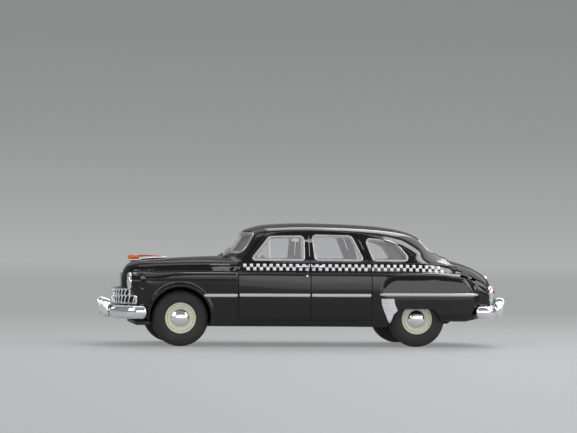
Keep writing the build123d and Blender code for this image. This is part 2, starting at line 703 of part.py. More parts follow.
with BuildPart() as boot_handle:
    with Locations((59.9, 0, 21.3)):
        Box(2.4, 3.0, 1.4)
    add(form_both, mode=Mode.SUBTRACT)
boot_handle.part.label = "boot_handle"
with BuildPart() as rear_number_plate:
    with Locations((61.0, 0, 17.6)):
        Box(1.4, 12.0, 3.0)
    add(form_both, mode=Mode.SUBTRACT)
rear_number_plate.part.label = "rear_number_plate"

with BuildPart() as door_handles:
    for side in (-1, 1):
        for x in (-1.9, 2.7):
            with Locations((x, 20.2 * side, 24.9)):
                Box(3.6, 1.6, 0.5)
    add(form_both, mode=Mode.SUBTRACT)
door_handles.part.label = "door_handles"
with BuildPart() as filler_lid:
    with Locations(Location((49.6, -18.6, 22.2), (35, 12, 0))):
        Cylinder(1.4, 1.6)
    add(body_shell.part, mode=Mode.SUBTRACT)
filler_lid.part.label = "filler_lid"
with BuildPart() as bonnet_strips:
    for side in (-1, 1):
        with Locations((-27.5, 15.6 * side, 25.2)):
            Box(6.4, 4.0, 0.5)
    add(form_both, mode=Mode.SUBTRACT)
bonnet_strips.part.label = "bonnet_strips"
with BuildPart() as wipers:
    for y in (-6.0, 5.0):
        with Locations((-24.4, y, 28.7)):
            Box(1.2, 0.8, 0.8)
        with Locations((-24.7, y + 2.6, 29.0)):
            Box(0.4, 6.0, 0.4)
    add(form_both, mode=Mode.SUBTRACT)
wipers.part.label = "wipers"


def wheel_part(x, side, profile):
    """A ring turned from (across, radius) points, across counted outwards from the track."""
    with BuildPart() as ring:
        centre = Plane((x, TRACK_HALF * side, TYRE_R), x_dir=(0, side, 0), z_dir=(side, 0, 0))
        with BuildSketch(centre):
            with BuildLine():
                Polyline(profile, close=True)
            make_face()
        revolve(axis=Axis((x, 0, TYRE_R), (0, 1, 0)))
    return ring.part


TYRE = ((-1.9, RIM_R), (-2.2, 6.6), (-1.9, 8.2), (-1.4, 8.7), (0, 8.8), (1.4, 8.7), (1.9, 8.2),
        (2.2, 6.6), (1.9, RIM_R))
RIM = ((-1.8, AXLE_R), (-1.8, RIM_R), (1.7, RIM_R), (1.7, 4.6), (1.2, 4.3), (1.2, CAP_R),
       (0.9, CAP_R), (0.9, AXLE_R))
CAP = ((0.9, 0.0), (0.9, CAP_R), (1.3, CAP_R), (1.9, 1.9), (2.2, 0.9), (2.3, 0.0))

pieces = [
    body_shell, base_plate, base_screws, exhaust, interior_tub, dashboard, front_seat, rear_seat,
    steering_wheel, side_panes, side_window_frames, windscreen, windscreen_frame,
    rear_window, rear_window_frame, side_strips, stone_guards, grille, headlamp_rims,
    headlamp_lenses, front_bumper, rear_bumper, front_overriders, rear_overriders, bonnet_ornament,
    ornament_fin, tail_lamp_housings, tail_lenses, boot_handle, rear_number_plate, door_handles,
    filler_lid, bonnet_strips, wipers,
]
for end, x in (("front", FRONT_AXLE_X), ("rear", REAR_AXLE_X)):
    for side, word in ((-1, "left"), (1, "right")):
        with BuildPart() as tyre:
            add(wheel_part(x, side, TYRE))
        tyre.part.label = f"{end}_tyre_{word}"
        pieces.append(tyre)
    with BuildPart() as rims:
        add(wheel_part(x, -1, RIM))
        add(wheel_part(x, 1, RIM))
    rims.part.label = f"{end}_rims"
    with BuildPart() as caps:
        add(wheel_part(x, -1, CAP))
        add(wheel_part(x, 1, CAP))
    caps.part.label = f"{end}_hubcaps"
    with BuildPart() as axle:
        add(tube_y(x, TYRE_R, AXLE_R, -18.1, 18.1))
    axle.part.label = f"{end}_axle"
    pieces += [rims, caps, axle]

for piece in pieces:
    part = piece.part
    box = part.bounding_box()
    print(f"{part.label:22s} {len(part.solids()):2d} {part.is_valid} {part.volume:9.2f} "
          f"x {box.min.X:6.1f} {box.max.X:6.1f} y {box.min.Y:6.1f} {box.max.Y:6.1f} "
          f"z {box.min.Z:6.1f} {box.max.Z:6.1f}")
    export_step(part, f"parts/{part.label}.step")
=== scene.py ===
import math

import bmesh
import bpy
import numpy as np
from mathutils import Matrix, Vector


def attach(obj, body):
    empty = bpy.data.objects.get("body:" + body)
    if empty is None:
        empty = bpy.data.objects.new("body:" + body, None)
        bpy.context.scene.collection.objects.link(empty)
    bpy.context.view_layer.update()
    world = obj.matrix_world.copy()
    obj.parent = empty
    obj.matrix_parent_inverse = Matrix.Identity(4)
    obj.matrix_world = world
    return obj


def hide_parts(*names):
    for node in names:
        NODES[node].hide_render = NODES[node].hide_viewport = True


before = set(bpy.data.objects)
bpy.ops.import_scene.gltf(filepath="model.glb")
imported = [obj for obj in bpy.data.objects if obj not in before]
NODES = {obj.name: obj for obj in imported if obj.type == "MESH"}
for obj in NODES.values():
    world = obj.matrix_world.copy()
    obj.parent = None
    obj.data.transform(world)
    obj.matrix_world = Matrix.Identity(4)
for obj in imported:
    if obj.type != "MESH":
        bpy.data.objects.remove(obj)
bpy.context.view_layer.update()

MM = 0.001
scene = bpy.context.scene

# Body form: its sections, all in mm. Each row is
# (x, base half width, base z, corner half width, corner z, crown z, corner radius, side bulge).
LOWER_BODY = (
    (-59.6, 16.2, 12.4, 17.2, 21.0, 21.4, 2.6, 0.3),
    (-55.3, 17.8, 11.2, 19.0, 22.2, 22.5, 2.6, 0.3),
    (-50.0, 19.4, 8.6, 20.4, 22.6, 22.9, 2.6, 0.5),
    (-40.0, 20.2, 6.6, 21.2, 22.95, 23.25, 0.95, 0.4),
    (-22.5, 20.2, 6.5, 21.2, 23.0, 23.3, 0.9, 0.4),
    (-21.9, 20.2, 6.5, 21.2, 23.0, 23.3, 0.9, 0.55),
    (0.0, 20.2, 6.5, 21.0, 23.0, 23.3, 0.9, 0.6),
    (20.0, 20.2, 6.5, 20.9, 23.0, 23.3, 0.9, 0.55),
    (35.0, 20.0, 7.2, 20.6, 22.95, 23.2, 1.2, 0.5),
    (47.0, 19.2, 8.0, 19.8, 22.0, 22.4, 2.2, 0.4),
    (54.0, 17.8, 8.9, 18.6, 20.4, 21.0, 2.6, 0.3),
    (58.2, 16.0, 10.2, 16.8, 18.4, 19.4, 2.8, 0.3),
)
UPPER_BODY = (
    (-58.6, 3.2, 13.2, 3.0, 17.9, 18.6, 1.4, 0.1),
    (-57.1, 4.2, 13.2, 3.8, 21.2, 22.1, 2.0, 0.1),
    (-56.3, 5.4, 13.2, 5.0, 22.9, 23.8, 2.4, 0.2),
    (-54.9, 6.8, 13.2, 6.2, 24.5, 25.4, 2.8, 0.2),
    (-52.0, 8.6, 13.2, 7.9, 25.3, 26.4, 3.2, 0.2),
    (-46.0, 10.8, 13.2, 9.9, 25.4, 26.9, 2.2, 0.2),
    (-38.0, 12.8, 13.2, 11.8, 25.7, 27.5, 2.2, 0.2),
    (-30.0, 15.2, 13.2, 14.0, 25.9, 27.9, 2.0, 0.2),
    (-24.0, 18.4, 13.2, 17.2, 26.0, 28.1, 1.7, 0.2),
    (-18.0, 20.0, 13.2, 18.9, 26.4, 27.8, 1.2, 0.2),
    (0.0, 20.2, 13.2, 19.1, 26.5, 27.6, 1.0, 0.2),
    (20.0, 20.2, 13.2, 19.1, 26.5, 27.6, 1.0, 0.2),
    (34.0, 19.6, 13.2, 18.2, 26.3, 28.2, 2.4, 0.2),
    (44.0, 18.3, 13.2, 16.6, 25.5, 27.8, 3.6, 0.2),
    (51.0, 17.0, 13.2, 15.2, 23.8, 26.2, 4.4, 0.2),
    (56.0, 15.8, 13.2, 13.8, 21.8, 24.2, 4.8, 0.2),
    (59.2, 14.6, 13.2, 12.2, 19.4, 22.0, 4.6, 0.2),
    (60.6, 12.6, 13.2, 10.6, 17.4, 19.4, 3.8, 0.2),
)
GREENHOUSE = (
    (-27.0, 18.2, 24.0, 14.6, 31.8, 32.6, 2.2, 0.2),
    (-19.0, 18.9, 24.0, 15.0, 34.8, 36.1, 2.6, 0.2),
    (-12.0, 19.1, 24.0, 15.2, 36.0, 38.0, 3.0, 0.2),
    (0.0, 19.2, 24.0, 15.3, 36.3, 38.6, 3.2, 0.2),
    (12.0, 19.2, 24.0, 15.3, 36.1, 38.4, 3.2, 0.2),
    (22.0, 18.9, 24.0, 15.0, 35.5, 37.9, 3.4, 0.2),
    (30.0, 18.2, 24.0, 14.2, 34.4, 36.9, 3.8, 0.2),
    (36.0, 17.2, 24.0, 13.0, 32.4, 35.1, 4.0, 0.2),
    (40.5, 16.0, 24.0, 11.8, 29.2, 31.6, 3.6, 0.2),
    (44.5, 14.6, 24.0, 11.4, 26.2, 27.8, 1.6, 0.2),
)
NOSE_R = 32.5
NOSE_X = -59.3
LAMP_FACE_X = -56.2
LAMP_FACE_R = 45.0
SHELF_Z = 17.9
TAIL_X = 58.6
BOOT_X = 60.7
WAIST_Z = 13.2
ROOF_FOOT_Z = 24.0
ARCH_X, ARCH_Z, ARCH_R = -40.2, 9.0, 9.5
LAMP = (-55.2, -17.0, 20.1)
NOSE_STRIP_X = -57.3
SCREEN_BASE = (-24.6, 28.0)
SCREEN_TOP = (-18.4, 36.2)
SCREEN_R = 34.0
REAR_WING = (
    (25.2, 7.6, 0.5), (22.0, 15.6, 3.0), (22.2, 23.0, 6.0), (40.0, 23.5, 6.0), (51.2, 22.4, 5.0),
    (55.4, 14.6, 5.0), (53.6, 8.4, 1.6), (50.0, 8.1, 3.0), (40.0, 8.1, 0.6),
)


def monotone(rows):
    """A function that gives every column of a table at any x, by monotone cubics."""
    a = np.array(rows, dtype=float)
    x, v = a[:, 0], a[:, 1:]
    g = np.diff(x)
    r = np.diff(v, axis=0) / g[:, None]
    m = np.zeros_like(v)
    m[0], m[-1] = r[0], r[-1]
    for i in range(1, len(x) - 1):
        w1, w2 = 2 * g[i] + g[i - 1], g[i] + 2 * g[i - 1]
        same = r[i - 1] * r[i] > 0
        with np.errstate(divide="ignore", invalid="ignore"):
            m[i] = np.where(same, (w1 + w2) / (w1 / r[i - 1] + w2 / r[i]), 0.0)
    fine = np.linspace(x[0], x[-1], 1200)
    k = np.clip(np.searchsorted(x, fine, "right") - 1, 0, len(g) - 1)
    t = ((fine - x[k]) / g[k])[:, None]
    h = g[k][:, None]
    out = (
        (1 + 2 * t) * (1 - t) ** 2 * v[k]
        + t * (1 - t) ** 2 * h * m[k]
        + t * t * (3 - 2 * t) * v[k + 1]
        + t * t * (t - 1) * h * m[k + 1]
    )
    return lambda q: [np.interp(q, fine, out[:, j]) for j in range(out.shape[1])]


LOWER_AT, UPPER_AT, GREEN_AT = monotone(LOWER_BODY), monotone(UPPER_BODY), monotone(GREENHOUSE)


def smax(a, b, r):
    """Largest of two distances with a round of radius r where both meet."""
    u, v = np.maximum(a + r, 0.0), np.maximum(b + r, 0.0)
    return np.where((a > -r) & (b > -r), np.sqrt(u * u + v * v) - r, np.maximum(a, b))


def smin(a, b, r):
    return -smax(-a, -b, r)


def step01(t):
    t = np.clip(t, 0.0, 1.0)
    return t * t * (3 - 2 * t)


def unit(v):
    v = np.asarray(v, float)
    return v / np.linalg.norm(v, axis=-1, keepdims=True)


def round_outline(corners, per=7):
    """Points of a closed outline whose corners are rounded by their own radius."""
    pts = []
    for i, (x, z, r) in enumerate(corners):
        p = np.array((x, z))
        a, b = (unit(np.array(corners[k % len(corners)][:2]) - p) for k in (i - 1, i + 1))
        half = math.acos(np.clip(a @ b, -1, 1)) / 2
        middle = p + unit(a + b) * (r / math.sin(half))
        reach = r / math.tan(half)
        start, end = (math.atan2(*(p + side * reach - middle)[::-1]) for side in (a, b))
        turn = (end - start + math.pi) % (2 * math.pi) - math.pi
        for t in start + turn * np.linspace(0, 1, max(2, int(per * max(1.0, r / 1.5))) + 1):
            pts.append((middle[0] + r * math.cos(t), middle[1] + r * math.sin(t)))
    return np.array(pts)


WING_LINE = round_outline(REAR_WING, 4)


def flat_distance(px, pz, line):
    """Signed distance to a closed line in a plane, negative inside."""
    best, inside = np.full(px.shape, 1e9), np.zeros(px.shape, bool)
    for (ax, az), (bx, bz) in zip(np.roll(line, 1, axis=0), line):
        dx, dz = bx - ax, bz - az
        t = np.clip(((px - ax) * dx + (pz - az) * dz) / (dx * dx + dz * dz + 1e-12), 0, 1)
        best = np.minimum(best, (px - ax - t * dx) ** 2 + (pz - az - t * dz) ** 2)
        if dz != 0:
            inside ^= ((az > pz) != (bz > pz)) & (px < dx * (pz - az) / dz + ax)
    return np.where(inside, -1, 1) * np.sqrt(best)


def section_form(x, y, z, at, extra=0.0, wall=0.0):
    """Distance to a body with the sections of a table, widened by extra or with a wall's thickness less."""
    base_y, base_z, corner_y, corner_z, crown, radius, bulge = at(x)
    t = np.clip((z - base_z) / (corner_z - wall - base_z), -0.3, 1.2)
    up = np.clip(t, 0, 1)
    side = base_y - wall + (corner_y - base_y) * t + 4 * bulge * up * (1 - up) + extra
    top = crown - wall - (crown - corner_z) * (y / corner_y) ** 2
    return smax(np.abs(y) - side, z - top, np.maximum(radius - wall, 0.4))


def screen_plane(y, z):
    slope = (SCREEN_TOP[0] - SCREEN_BASE[0]) / (SCREEN_TOP[1] - SCREEN_BASE[1])
    bow = SCREEN_R - np.sqrt(np.maximum(SCREEN_R**2 - y * y, 1.0))
    return SCREEN_BASE[0] + (z - SCREEN_BASE[1]) * slope + bow


DRIP_RAIL = (
    (-18.4, 26.9), (-17.0, 29.8), (-15.2, 32.2), (-13.1, 34.1), (-10.4, 35.2), (-7.4, 35.7), (-3.5, 36.0),
    (4.1, 36.1), (10.2, 35.8), (16.3, 35.4), (21.0, 34.4), (27.1, 32.4), (30.2, 31.0), (33.6, 28.7),
    (35.0, 26.2),
)
# Filled once the drip rail has been found on the form: (x, rail half width, rail z, foot half width)
FLAT_FRAMES = []


def form(x, y, z):
    """The whole outer body as one rounded form, negative inside."""
    # Lower body, with the step of the front wings, the lip of their arches, the nose and the lamps' faces
    nose = NOSE_X + NOSE_R - np.sqrt(np.maximum(NOSE_R**2 - y * y, 1.0))
    wing_step = 0.32 * step01((z - 20.2) / 0.9) * step01((-22.4 - x) / 0.5) * step01((x + 56.0) / 4)
    d_arch = np.hypot(x - ARCH_X, z - ARCH_Z)
    lip = 0.3 * np.exp(-(((d_arch - 10.0) / 0.55) ** 2)) * (z > 7)
    low = section_form(x, y, z, LOWER_AT, wing_step + lip)
    low = smax(low, nose - x, 1.4)
    lamp_face = LAMP_FACE_X + LAMP_FACE_R - np.sqrt(LAMP_FACE_R**2 - np.minimum(y * y, 900.0))
    low = smax(low, smin(lamp_face - x, z - SHELF_Z, 0.3), 0.4)
    low = smax(low, x - TAIL_X, 1.6)
    # Bonnet, waist and boot
    up = section_form(x, y, z, UPPER_AT)
    up = smax(up, -58.7 - x, 0.6)
    up = smax(up, smin(NOSE_STRIP_X - x, z - SHELF_Z, 0.3), 0.4)
    up = smax(up, x - BOOT_X, 0.9)
    up = smax(up, WAIST_Z - z, 0.3)
    out = smin(low, up, 0.45)
    # Roof and windows
    green = section_form(x, y, z, GREEN_AT)
    if FLAT_FRAMES:
        at, rail_y, rail_z, sill_y = FLAT_FRAMES[0]
        fall = (z - ROOF_FOOT_Z) / (np.interp(x, at, rail_z) - ROOF_FOOT_Z)
        foot = np.interp(x, at, sill_y)
        green = smax(green, np.abs(y) - foot - (np.interp(x, at, rail_y) - foot) * fall, 0.12)
    green = smax(green, screen_plane(y, z) - x, 0.35)
    green = smax(green, x - 45.0, 0.5)
    green = np.maximum(green, 22.0 - z)
    out = smin(out, green, 0.7 + 2.2 * step01((x - 28.0) / 10.0))
    # Rear wing, far away (50) where it can't matter
    wing = np.full(x.shape, 50.0)
    m = (x > 17) & (x < 61) & (np.abs(y) > 12) & (z < 27)
    if m.any():
        flat = flat_distance(x[m], z[m], WING_LINE)
        back = np.maximum(x[m] - 42.0, 0.0)
        lean = 0.009 * np.maximum(z[m] - 14.5, 0.0) ** 2
        wing[m] = smax(flat, np.abs(y[m]) - 21.75 + 0.0165 * back**2 + lean, 2.4)
        wing[m] = np.maximum(wing[m], 13.0 - np.abs(y[m]))
    out = smin(out, wing, 0.55)
    # Headlamp pods, which taper backwards
    pod = np.hypot(np.abs(y) + LAMP[1], z - LAMP[2]) - 2.75 + 0.16 * np.clip(x + 54.5, 0.0, 8.0)
    pod = smax(pod, -55.5 - x, 0.3)
    pod = np.maximum(pod, x + 46.0)
    return smin(out, pod, 1.6)


def slope_of(p, f=form, h=0.03):
    g = np.empty_like(p)
    for k in range(3):
        a, b = p.copy(), p.copy()
        a[:, k] += h
        b[:, k] -= h
        g[:, k] = (f(a[:, 0], a[:, 1], a[:, 2]) - f(b[:, 0], b[:, 1], b[:, 2])) / (2 * h)
    return g


def onto(p, f=form, rounds=6):
    """Moves points along the form's slope until they lie on it."""
    p = p.copy()
    for _ in range(rounds):
        v = f(p[:, 0], p[:, 1], p[:, 2])
        g = slope_of(p, f)
        n = np.maximum(np.linalg.norm(g, axis=1), 1e-6)
        d = np.clip(v / n, -0.5, 0.5)
        p -= g / n[:, None] * d[:, None]
    return p


def surface(f, low, high, cell):
    """A net of quads on f = 0, closed within the box: one point for each cell that the surface crosses."""
    axes = [np.arange(low[k], high[k] + cell[k], cell[k]) for k in range(3)]
    grid = np.stack(np.meshgrid(*axes, indexing="ij"), axis=-1)
    v = f(*grid.reshape(-1, 3).T).reshape(grid.shape[:3])
    total, count = np.zeros(grid.shape), np.zeros(v.shape)
    rings = []
    for axis in range(3):
        step = np.eye(3, dtype=int)[axis]
        first = v[tuple(slice(0, n - s) for n, s in zip(v.shape, step))]
        last = v[tuple(slice(s, None) for s in step)]
        at = np.argwhere((first < 0) != (last < 0))
        a, b = first[tuple(at.T)], last[tuple(at.T)]
        point = grid[tuple(at.T)] + (a / (a - b))[:, None] * step * np.array(cell)
        ring = [tuple((at - np.roll((0, *shift), axis)).T) for shift in ((0, 0), (1, 0), (1, 1), (0, 1))]
        for cells in ring:
            np.add.at(total, cells, point)
            np.add.at(count, cells, 1)
        rings.append((ring, a < 0))
    used = count > 0
    index = np.cumsum(used.ravel()).reshape(used.shape) - 1
    quads = []
    for ring, leaves in rings:
        quad = np.stack([index[cells] for cells in ring], axis=1)
        quads += [quad[leaves], quad[~leaves, ::-1]]
    return total[used] / count[used][:, None], np.concatenate(quads)


def mesh_object(name, verts, faces, smooth=True):
    """A mesh object from points in mm and lists of corners."""
    me = bpy.data.meshes.new(name)
    me.from_pydata((np.asarray(verts, float) * MM).tolist(), [], [[int(i) for i in f] for f in faces])
    me.validate()
    me.polygons.foreach_set("use_smooth", np.full(len(me.polygons), smooth))
    ob = bpy.data.objects.new(name.replace(" ", "_"), me)
    scene.collection.objects.link(ob)
    return ob


# Materials
def connect(tree, node, inputs):
    """Sets a node's inputs to values, or links them where a socket is given."""
    for key, value in inputs.items():
        if isinstance(value, bpy.types.NodeSocket):
            tree.links.new(value, node.inputs[key])
        else:
            node.inputs[key].default_value = value


def add_node(tree, kind, inputs, output, **fields):
    """Adds a shader node and gives one of its outputs."""
    node = tree.nodes.new(kind)
    for field, value in fields.items():
        setattr(node, field, value)
    connect(tree, node, inputs)
    return node.outputs[output]


def material(name, color, rough=0.4, metal=0.0, coat=0.0, bump=0.0, bump_size=400.0, vary=0.0, clear=0.0):
    """A painted, plated or moulded surface with fine uneven roughness and bump."""
    m = bpy.data.materials.new(name)
    m.use_nodes = True
    nt = m.node_tree
    shader = nt.nodes["Principled BSDF"]
    connect(nt, shader, {
        "Base Color": (*color, 1), "Roughness": rough, "Metallic": metal, "Coat Weight": coat,
        "Coat Roughness": 0.03, "Transmission Weight": clear,
    })
    place = add_node(nt, "ShaderNodeTexCoord", {}, "Object")
    if vary:
        patches = add_node(nt, "ShaderNodeTexNoise", {"Vector": place, "Scale": 160.0, "Detail": 5.0}, "Fac")
        limits = {"From Min": 0.3, "From Max": 0.7, "To Min": max(0.02, rough - vary), "To Max": rough + vary}
        uneven = add_node(nt, "ShaderNodeMapRange", {"Value": patches, **limits}, "Result")
        connect(nt, shader, {"Roughness": uneven})
    if bump:
        size = {"Scale": bump_size, "Detail": 3.0}
        grain = add_node(nt, "ShaderNodeTexNoise", {"Vector": place, **size}, "Fac")
        height = {"Height": grain, "Strength": bump, "Distance": 0.0002}
        connect(nt, shader, {"Normal": add_node(nt, "ShaderNodeBump", height, "Normal")})
    return m


def clear_material(name, painted_sheen, alpha, rough=0.05):
    """A clear pane or lens: what is behind it shows through a faint pale layer, a painted sheen that stands
    in for light reflected on the glass.
    """
    m = material(name, painted_sheen, rough)
    m.node_tree.nodes["Principled BSDF"].inputs["Alpha"].default_value = alpha
    return m


PAINT = material("black lacquer", (0.004, 0.0036, 0.004), 0.09, bump=0.02, bump_size=900, vary=0.02)
LINING = material("mauve lining", (0.37, 0.275, 0.27), 0.55, bump=0.1, bump_size=1500, vary=0.08)
PLASTIC = material("black plastic", (0.012, 0.012, 0.013), 0.5, bump=0.15, bump_size=1800, vary=0.1)
RUBBER = material("tyre rubber", (0.013, 0.0115, 0.011), 0.6, bump=0.25, bump_size=1500, vary=0.1)
CHROME = material("bright plating", (0.86, 0.86, 0.88), 0.07, metal=1.0, vary=0.03)
SILVER = material("satin silver", (0.62, 0.61, 0.59), 0.3, metal=0.75, bump=0.06, bump_size=1600, vary=0.06)
WHITE_METAL = material("dull plating", (0.74, 0.74, 0.76), 0.36, 0.55, bump=0.1, bump_size=1400, vary=0.06)
STRIP = material("dull silver strip", (0.56, 0.55, 0.52), 0.34, 0.35, bump=0.06, bump_size=1600, vary=0.06)
CREAM = material("cream enamel", (0.64, 0.64, 0.51), 0.32, coat=0.3, bump=0.04, vary=0.06)
WHITE = material("white print", (0.80, 0.80, 0.84), 0.35, bump=0.05, bump_size=2500, vary=0.05)
DARK_TRIM = material("dark trim", (0.05, 0.038, 0.036), 0.6, bump=0.15, bump_size=1500, vary=0.08)
SEAT = material("seat vinyl", (0.15, 0.105, 0.10), 0.5, bump=0.25, bump_size=700, vary=0.08)
IVORY = material("ivory plastic", (0.55, 0.50, 0.38), 0.3)
DULL = material("dull badge strip", (0.24, 0.24, 0.19), 0.45, metal=0.3, vary=0.08)
STEEL = material("bare steel", (0.45, 0.45, 0.46), 0.32, metal=1.0, vary=0.08)
EXHAUST = material("dull grey metal", (0.10, 0.10, 0.10), 0.5, metal=0.6, vary=0.1)
DARK = material("black recess", (0.004, 0.004, 0.004), 0.6)
PLATE = material("blank plate", (0.65, 0.65, 0.63), 0.4, bump=0.05)
# Panes and lamp glass: their pale colour is a painted sheen of reflected light
GLASS = clear_material("clear pane", (0.72, 0.71, 0.73), 0.16)
LENS = clear_material("lamp glass", (0.8, 0.82, 0.82), 0.3)
RED = material("clear red", (0.62, 0.035, 0.008), 0.1, coat=0.6, clear=0.35)
AMBER = material("clear orange", (0.85, 0.16, 0.01), 0.08, coat=0.6, clear=0.35)


def paint(ob, mat):
    ob.data.materials.clear()
    ob.data.materials.append(mat)
    return ob


# Shape helpers
def stacked(rows, closed=False):
    """A skin over rings of points one after the other: back to the first ring, or with flat ends."""
    rows = np.asarray(rows, float)
    m, k = rows.shape[:2]
    faces = [(i * k + a, i * k + (a + 1) % k, (i + 1) % m * k + (a + 1) % k, (i + 1) % m * k + a)
             for i in range(m if closed else m - 1) for a in range(k)]
    if not closed:
        faces += [tuple(range(k)), tuple(range(m * k - 1, (m - 1) * k - 1, -1))]
    return rows.reshape(-1, 3), faces


def profile_sweep(pts, normals, section, scale=None, closed=False, square=False):
    """A bar along points with a section of (outward, upward) points, which may stand square to the path."""
    p, n = np.asarray(pts, float), unit(normals)
    t = unit(np.roll(p, -1, 0) - np.roll(p, 1, 0) if closed else np.gradient(p, axis=0))
    b = unit(np.cross(t, n))
    if square:
        n = np.cross(b, t)
    size = np.ones(len(p)) if scale is None else np.asarray(scale, float)
    grid = size.reshape(len(p), 1, -1) * np.asarray(section, float)
    return stacked(p[:, None] + n[:, None] * grid[..., :1] + b[:, None] * grid[..., 1:], closed)


def sweep(pts, normals, half_w, half_n, closed=False, ring=10, power=1.0, scale=None):
    """A round bar along points, half_w wide across the surface and half_n high along the normals."""
    a = 2 * math.pi * np.arange(ring) / ring
    c, d = (np.copysign(np.abs(q) ** power, q) for q in (np.cos(a), np.sin(a)))
    return profile_sweep(pts, normals, np.stack([half_n * d, half_w * c], axis=1), scale, closed, True)


def turned(profile, centre, axis, turns=48):
    """A body turned round an axis from a closed profile of (along, radius) points."""
    along, radius = np.asarray(profile, float).T[:, :, None]
    axis = np.asarray(axis, float)
    u = unit(np.cross(axis, (1.0, 0.0, 0.0))) if abs(axis[0]) < 0.95 else np.array((0.0, 1.0, 0.0))
    v = np.cross(axis, u)
    spokes = [u * math.cos(a) + v * math.sin(a) for a in 2 * math.pi * np.arange(turns) / turns]
    return stacked([centre + along * axis + radius * spoke for spoke in spokes], closed=True)


def round_rows(rows, column, middle_y=0.0, steps=14):
    """A body of round sections, rows as (x, low z, high z, half width), or (z, low x, high x, half width)."""
    a = 2 * math.pi * np.arange(steps) / steps + column * math.pi / 4
    rings = []
    for level, low, high, half in rows:
        along = (low + high) / 2 + (high - low) / 2 * np.sin(a)
        ring = [np.full(steps, level), middle_y + half * np.cos(a), along]
        rings.append(np.stack(ring if column == 0 else ring[::-1], axis=1))
    return stacked(rings)


def prism(outline, axis, low, high):
    """A flat outline pushed along an axis: y for (x, z), x for (y, z), z for (x, y)."""
    return stacked([np.insert(np.asarray(outline, float), "xyz".index(axis), q, axis=1) for q in (low, high)])


def sheet(p, n, lift, under=-0.12):
    """A closed thin sheet over a grid of surface points, lifted along their normals."""
    rows, cols = p.shape[:2]
    lift = np.broadcast_to(lift, (rows, cols))
    k = rows * cols
    faces = []
    for i in range(rows - 1):
        for j in range(cols - 1):
            a, d = i * cols + j, (i + 1) * cols + j
            faces += [(a, a + 1, d + 1, d), (k + d, k + d + 1, k + a + 1, k + a)]
    edge = list(range(cols)) + [i * cols + cols - 1 for i in range(1, rows)]
    edge += [k - 2 - j for j in range(cols - 1)] + [i * cols for i in range(rows - 2, 0, -1)]
    faces += [(b, a, k + a, k + b) for a, b in zip(edge, edge[1:] + edge[:1])]
    return np.concatenate([(p + n * lift[..., None]).reshape(-1, 3), (p + n * under).reshape(-1, 3)]), faces


def merged(parts):
    verts, faces, base = [], [], 0
    for v, f in parts:
        verts.append(np.asarray(v, float))
        faces += [tuple(int(i) + base for i in q) for q in f]
        base += len(v)
    return np.concatenate(verts), faces


def mirrored(part):
    return np.asarray(part[0], float) * np.array([1, -1, 1]), [tuple(q[::-1]) for q in part[1]]


def both(*parts):
    return merged(list(parts) + [mirrored(p) for p in parts])


def on_form(points, column, start, end, steps=260):
    """Where rays along one axis first meet the form, and its outward normals there."""
    p = np.insert(np.asarray(points, float), column, 0.0, axis=1)
    levels = np.linspace(start, end, steps)
    grid = np.repeat(p[:, None, :], steps, axis=1)
    grid[:, :, column] = levels
    v = form(*grid.reshape(-1, 3).T).reshape(len(p), steps)
    hit = np.maximum(np.argmax(v < 0, axis=1), 1)
    near, far = levels[hit - 1], levels[hit]
    for _ in range(18):
        middle = (near + far) / 2
        p[:, column] = middle
        inside = form(*p.T) < 0
        near, far = np.where(inside, near, middle), np.where(inside, middle, far)
    p[:, column] = (near + far) / 2
    return p, unit(slope_of(p))


def on_side(xz):
    return on_form(xz, 1, -24.0, -6.0)


def on_top(xy):
    return on_form(xy, 2, 40.0, 8.0)


def on_front(yz):
    return on_form(yz, 0, -63.0, -8.0, 360)


def on_tail(yz):
    return on_form(yz, 0, 63.0, 20.0)


def dense(path, step=0.5):
    """The same open path with points at even steps."""
    p = np.asarray(path, float)
    s = np.concatenate([[0], np.cumsum(np.linalg.norm(np.diff(p, axis=0), axis=1))])
    q = np.linspace(0, s[-1], max(2, int(s[-1] / step) + 1))
    return np.stack([np.interp(q, s, p[:, k]) for k in range(p.shape[1])], axis=1)


def curve(path, step=0.5):
    """A smooth path through the points, at even steps."""
    p = np.asarray(path, float)
    ext = np.concatenate([[2 * p[0] - p[1]], p, [2 * p[-1] - p[-2]]])
    out = []
    for p0, p1, p2, p3 in zip(ext, ext[1:], ext[2:], ext[3:]):
        for t in np.linspace(0, 1, 12, endpoint=False):
            square = (2 * p0 - 5 * p1 + 4 * p2 - p3) * t * t
            out.append(0.5 * (2 * p1 + (p2 - p0) * t + square + (3 * p1 - p0 - 3 * p2 + p3) * t**3))
    out.append(p[-1])
    return dense(out, step)


def closed_path(outline, step=0.3):
    return dense(np.concatenate([outline, outline[:1]]), step)[:-1]


def shrink(outline, amount):
    """A closed outline moved inwards by an amount."""
    o = np.asarray(outline, float)
    area = np.sum(o[:, 0] * np.roll(o[:, 1], -1) - np.roll(o[:, 0], -1) * o[:, 1])
    t = np.roll(o, -1, 0) - np.roll(o, 1, 0)
    t = t / np.maximum(np.linalg.norm(t, axis=1), 1e-9)[:, None]
    inward = np.stack([-t[:, 1], t[:, 0]], axis=1) * (1 if area > 0 else -1)
    return o + inward * amount


def outward_faces(ob):
    """Turns every face of a closed mesh outwards."""
    bm = bmesh.new()
    bm.from_mesh(ob.data)
    bmesh.ops.recalc_face_normals(bm, faces=bm.faces)
    bm.to_mesh(ob.data)
    bm.free()
    return ob


def sharpen(ob, degrees):
    """Marks edges sharper than an angle, so that smooth shading stops at them."""
    bm = bmesh.new()
    bm.from_mesh(ob.data)
    for e in bm.edges:
        if len(e.link_faces) == 2:
            e.smooth = e.calc_face_angle(0.0) < math.radians(degrees)
    bm.to_mesh(ob.data)
    bm.free()


def fitted(ob, node=None, body="car"):
    """Puts a mesh on its body; node is what it replaces, which is hidden."""
    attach(ob, body)
    if node:
        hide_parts(node)


def piece(part, name, mat, node=None, body="car", angle=None):
    """A finished mesh, smooth up to an angle between its faces."""
    ob = outward_faces(mesh_object(name, *part))
    if angle is not None:
        sharpen(ob, angle)
    fitted(paint(ob, mat), node, body)


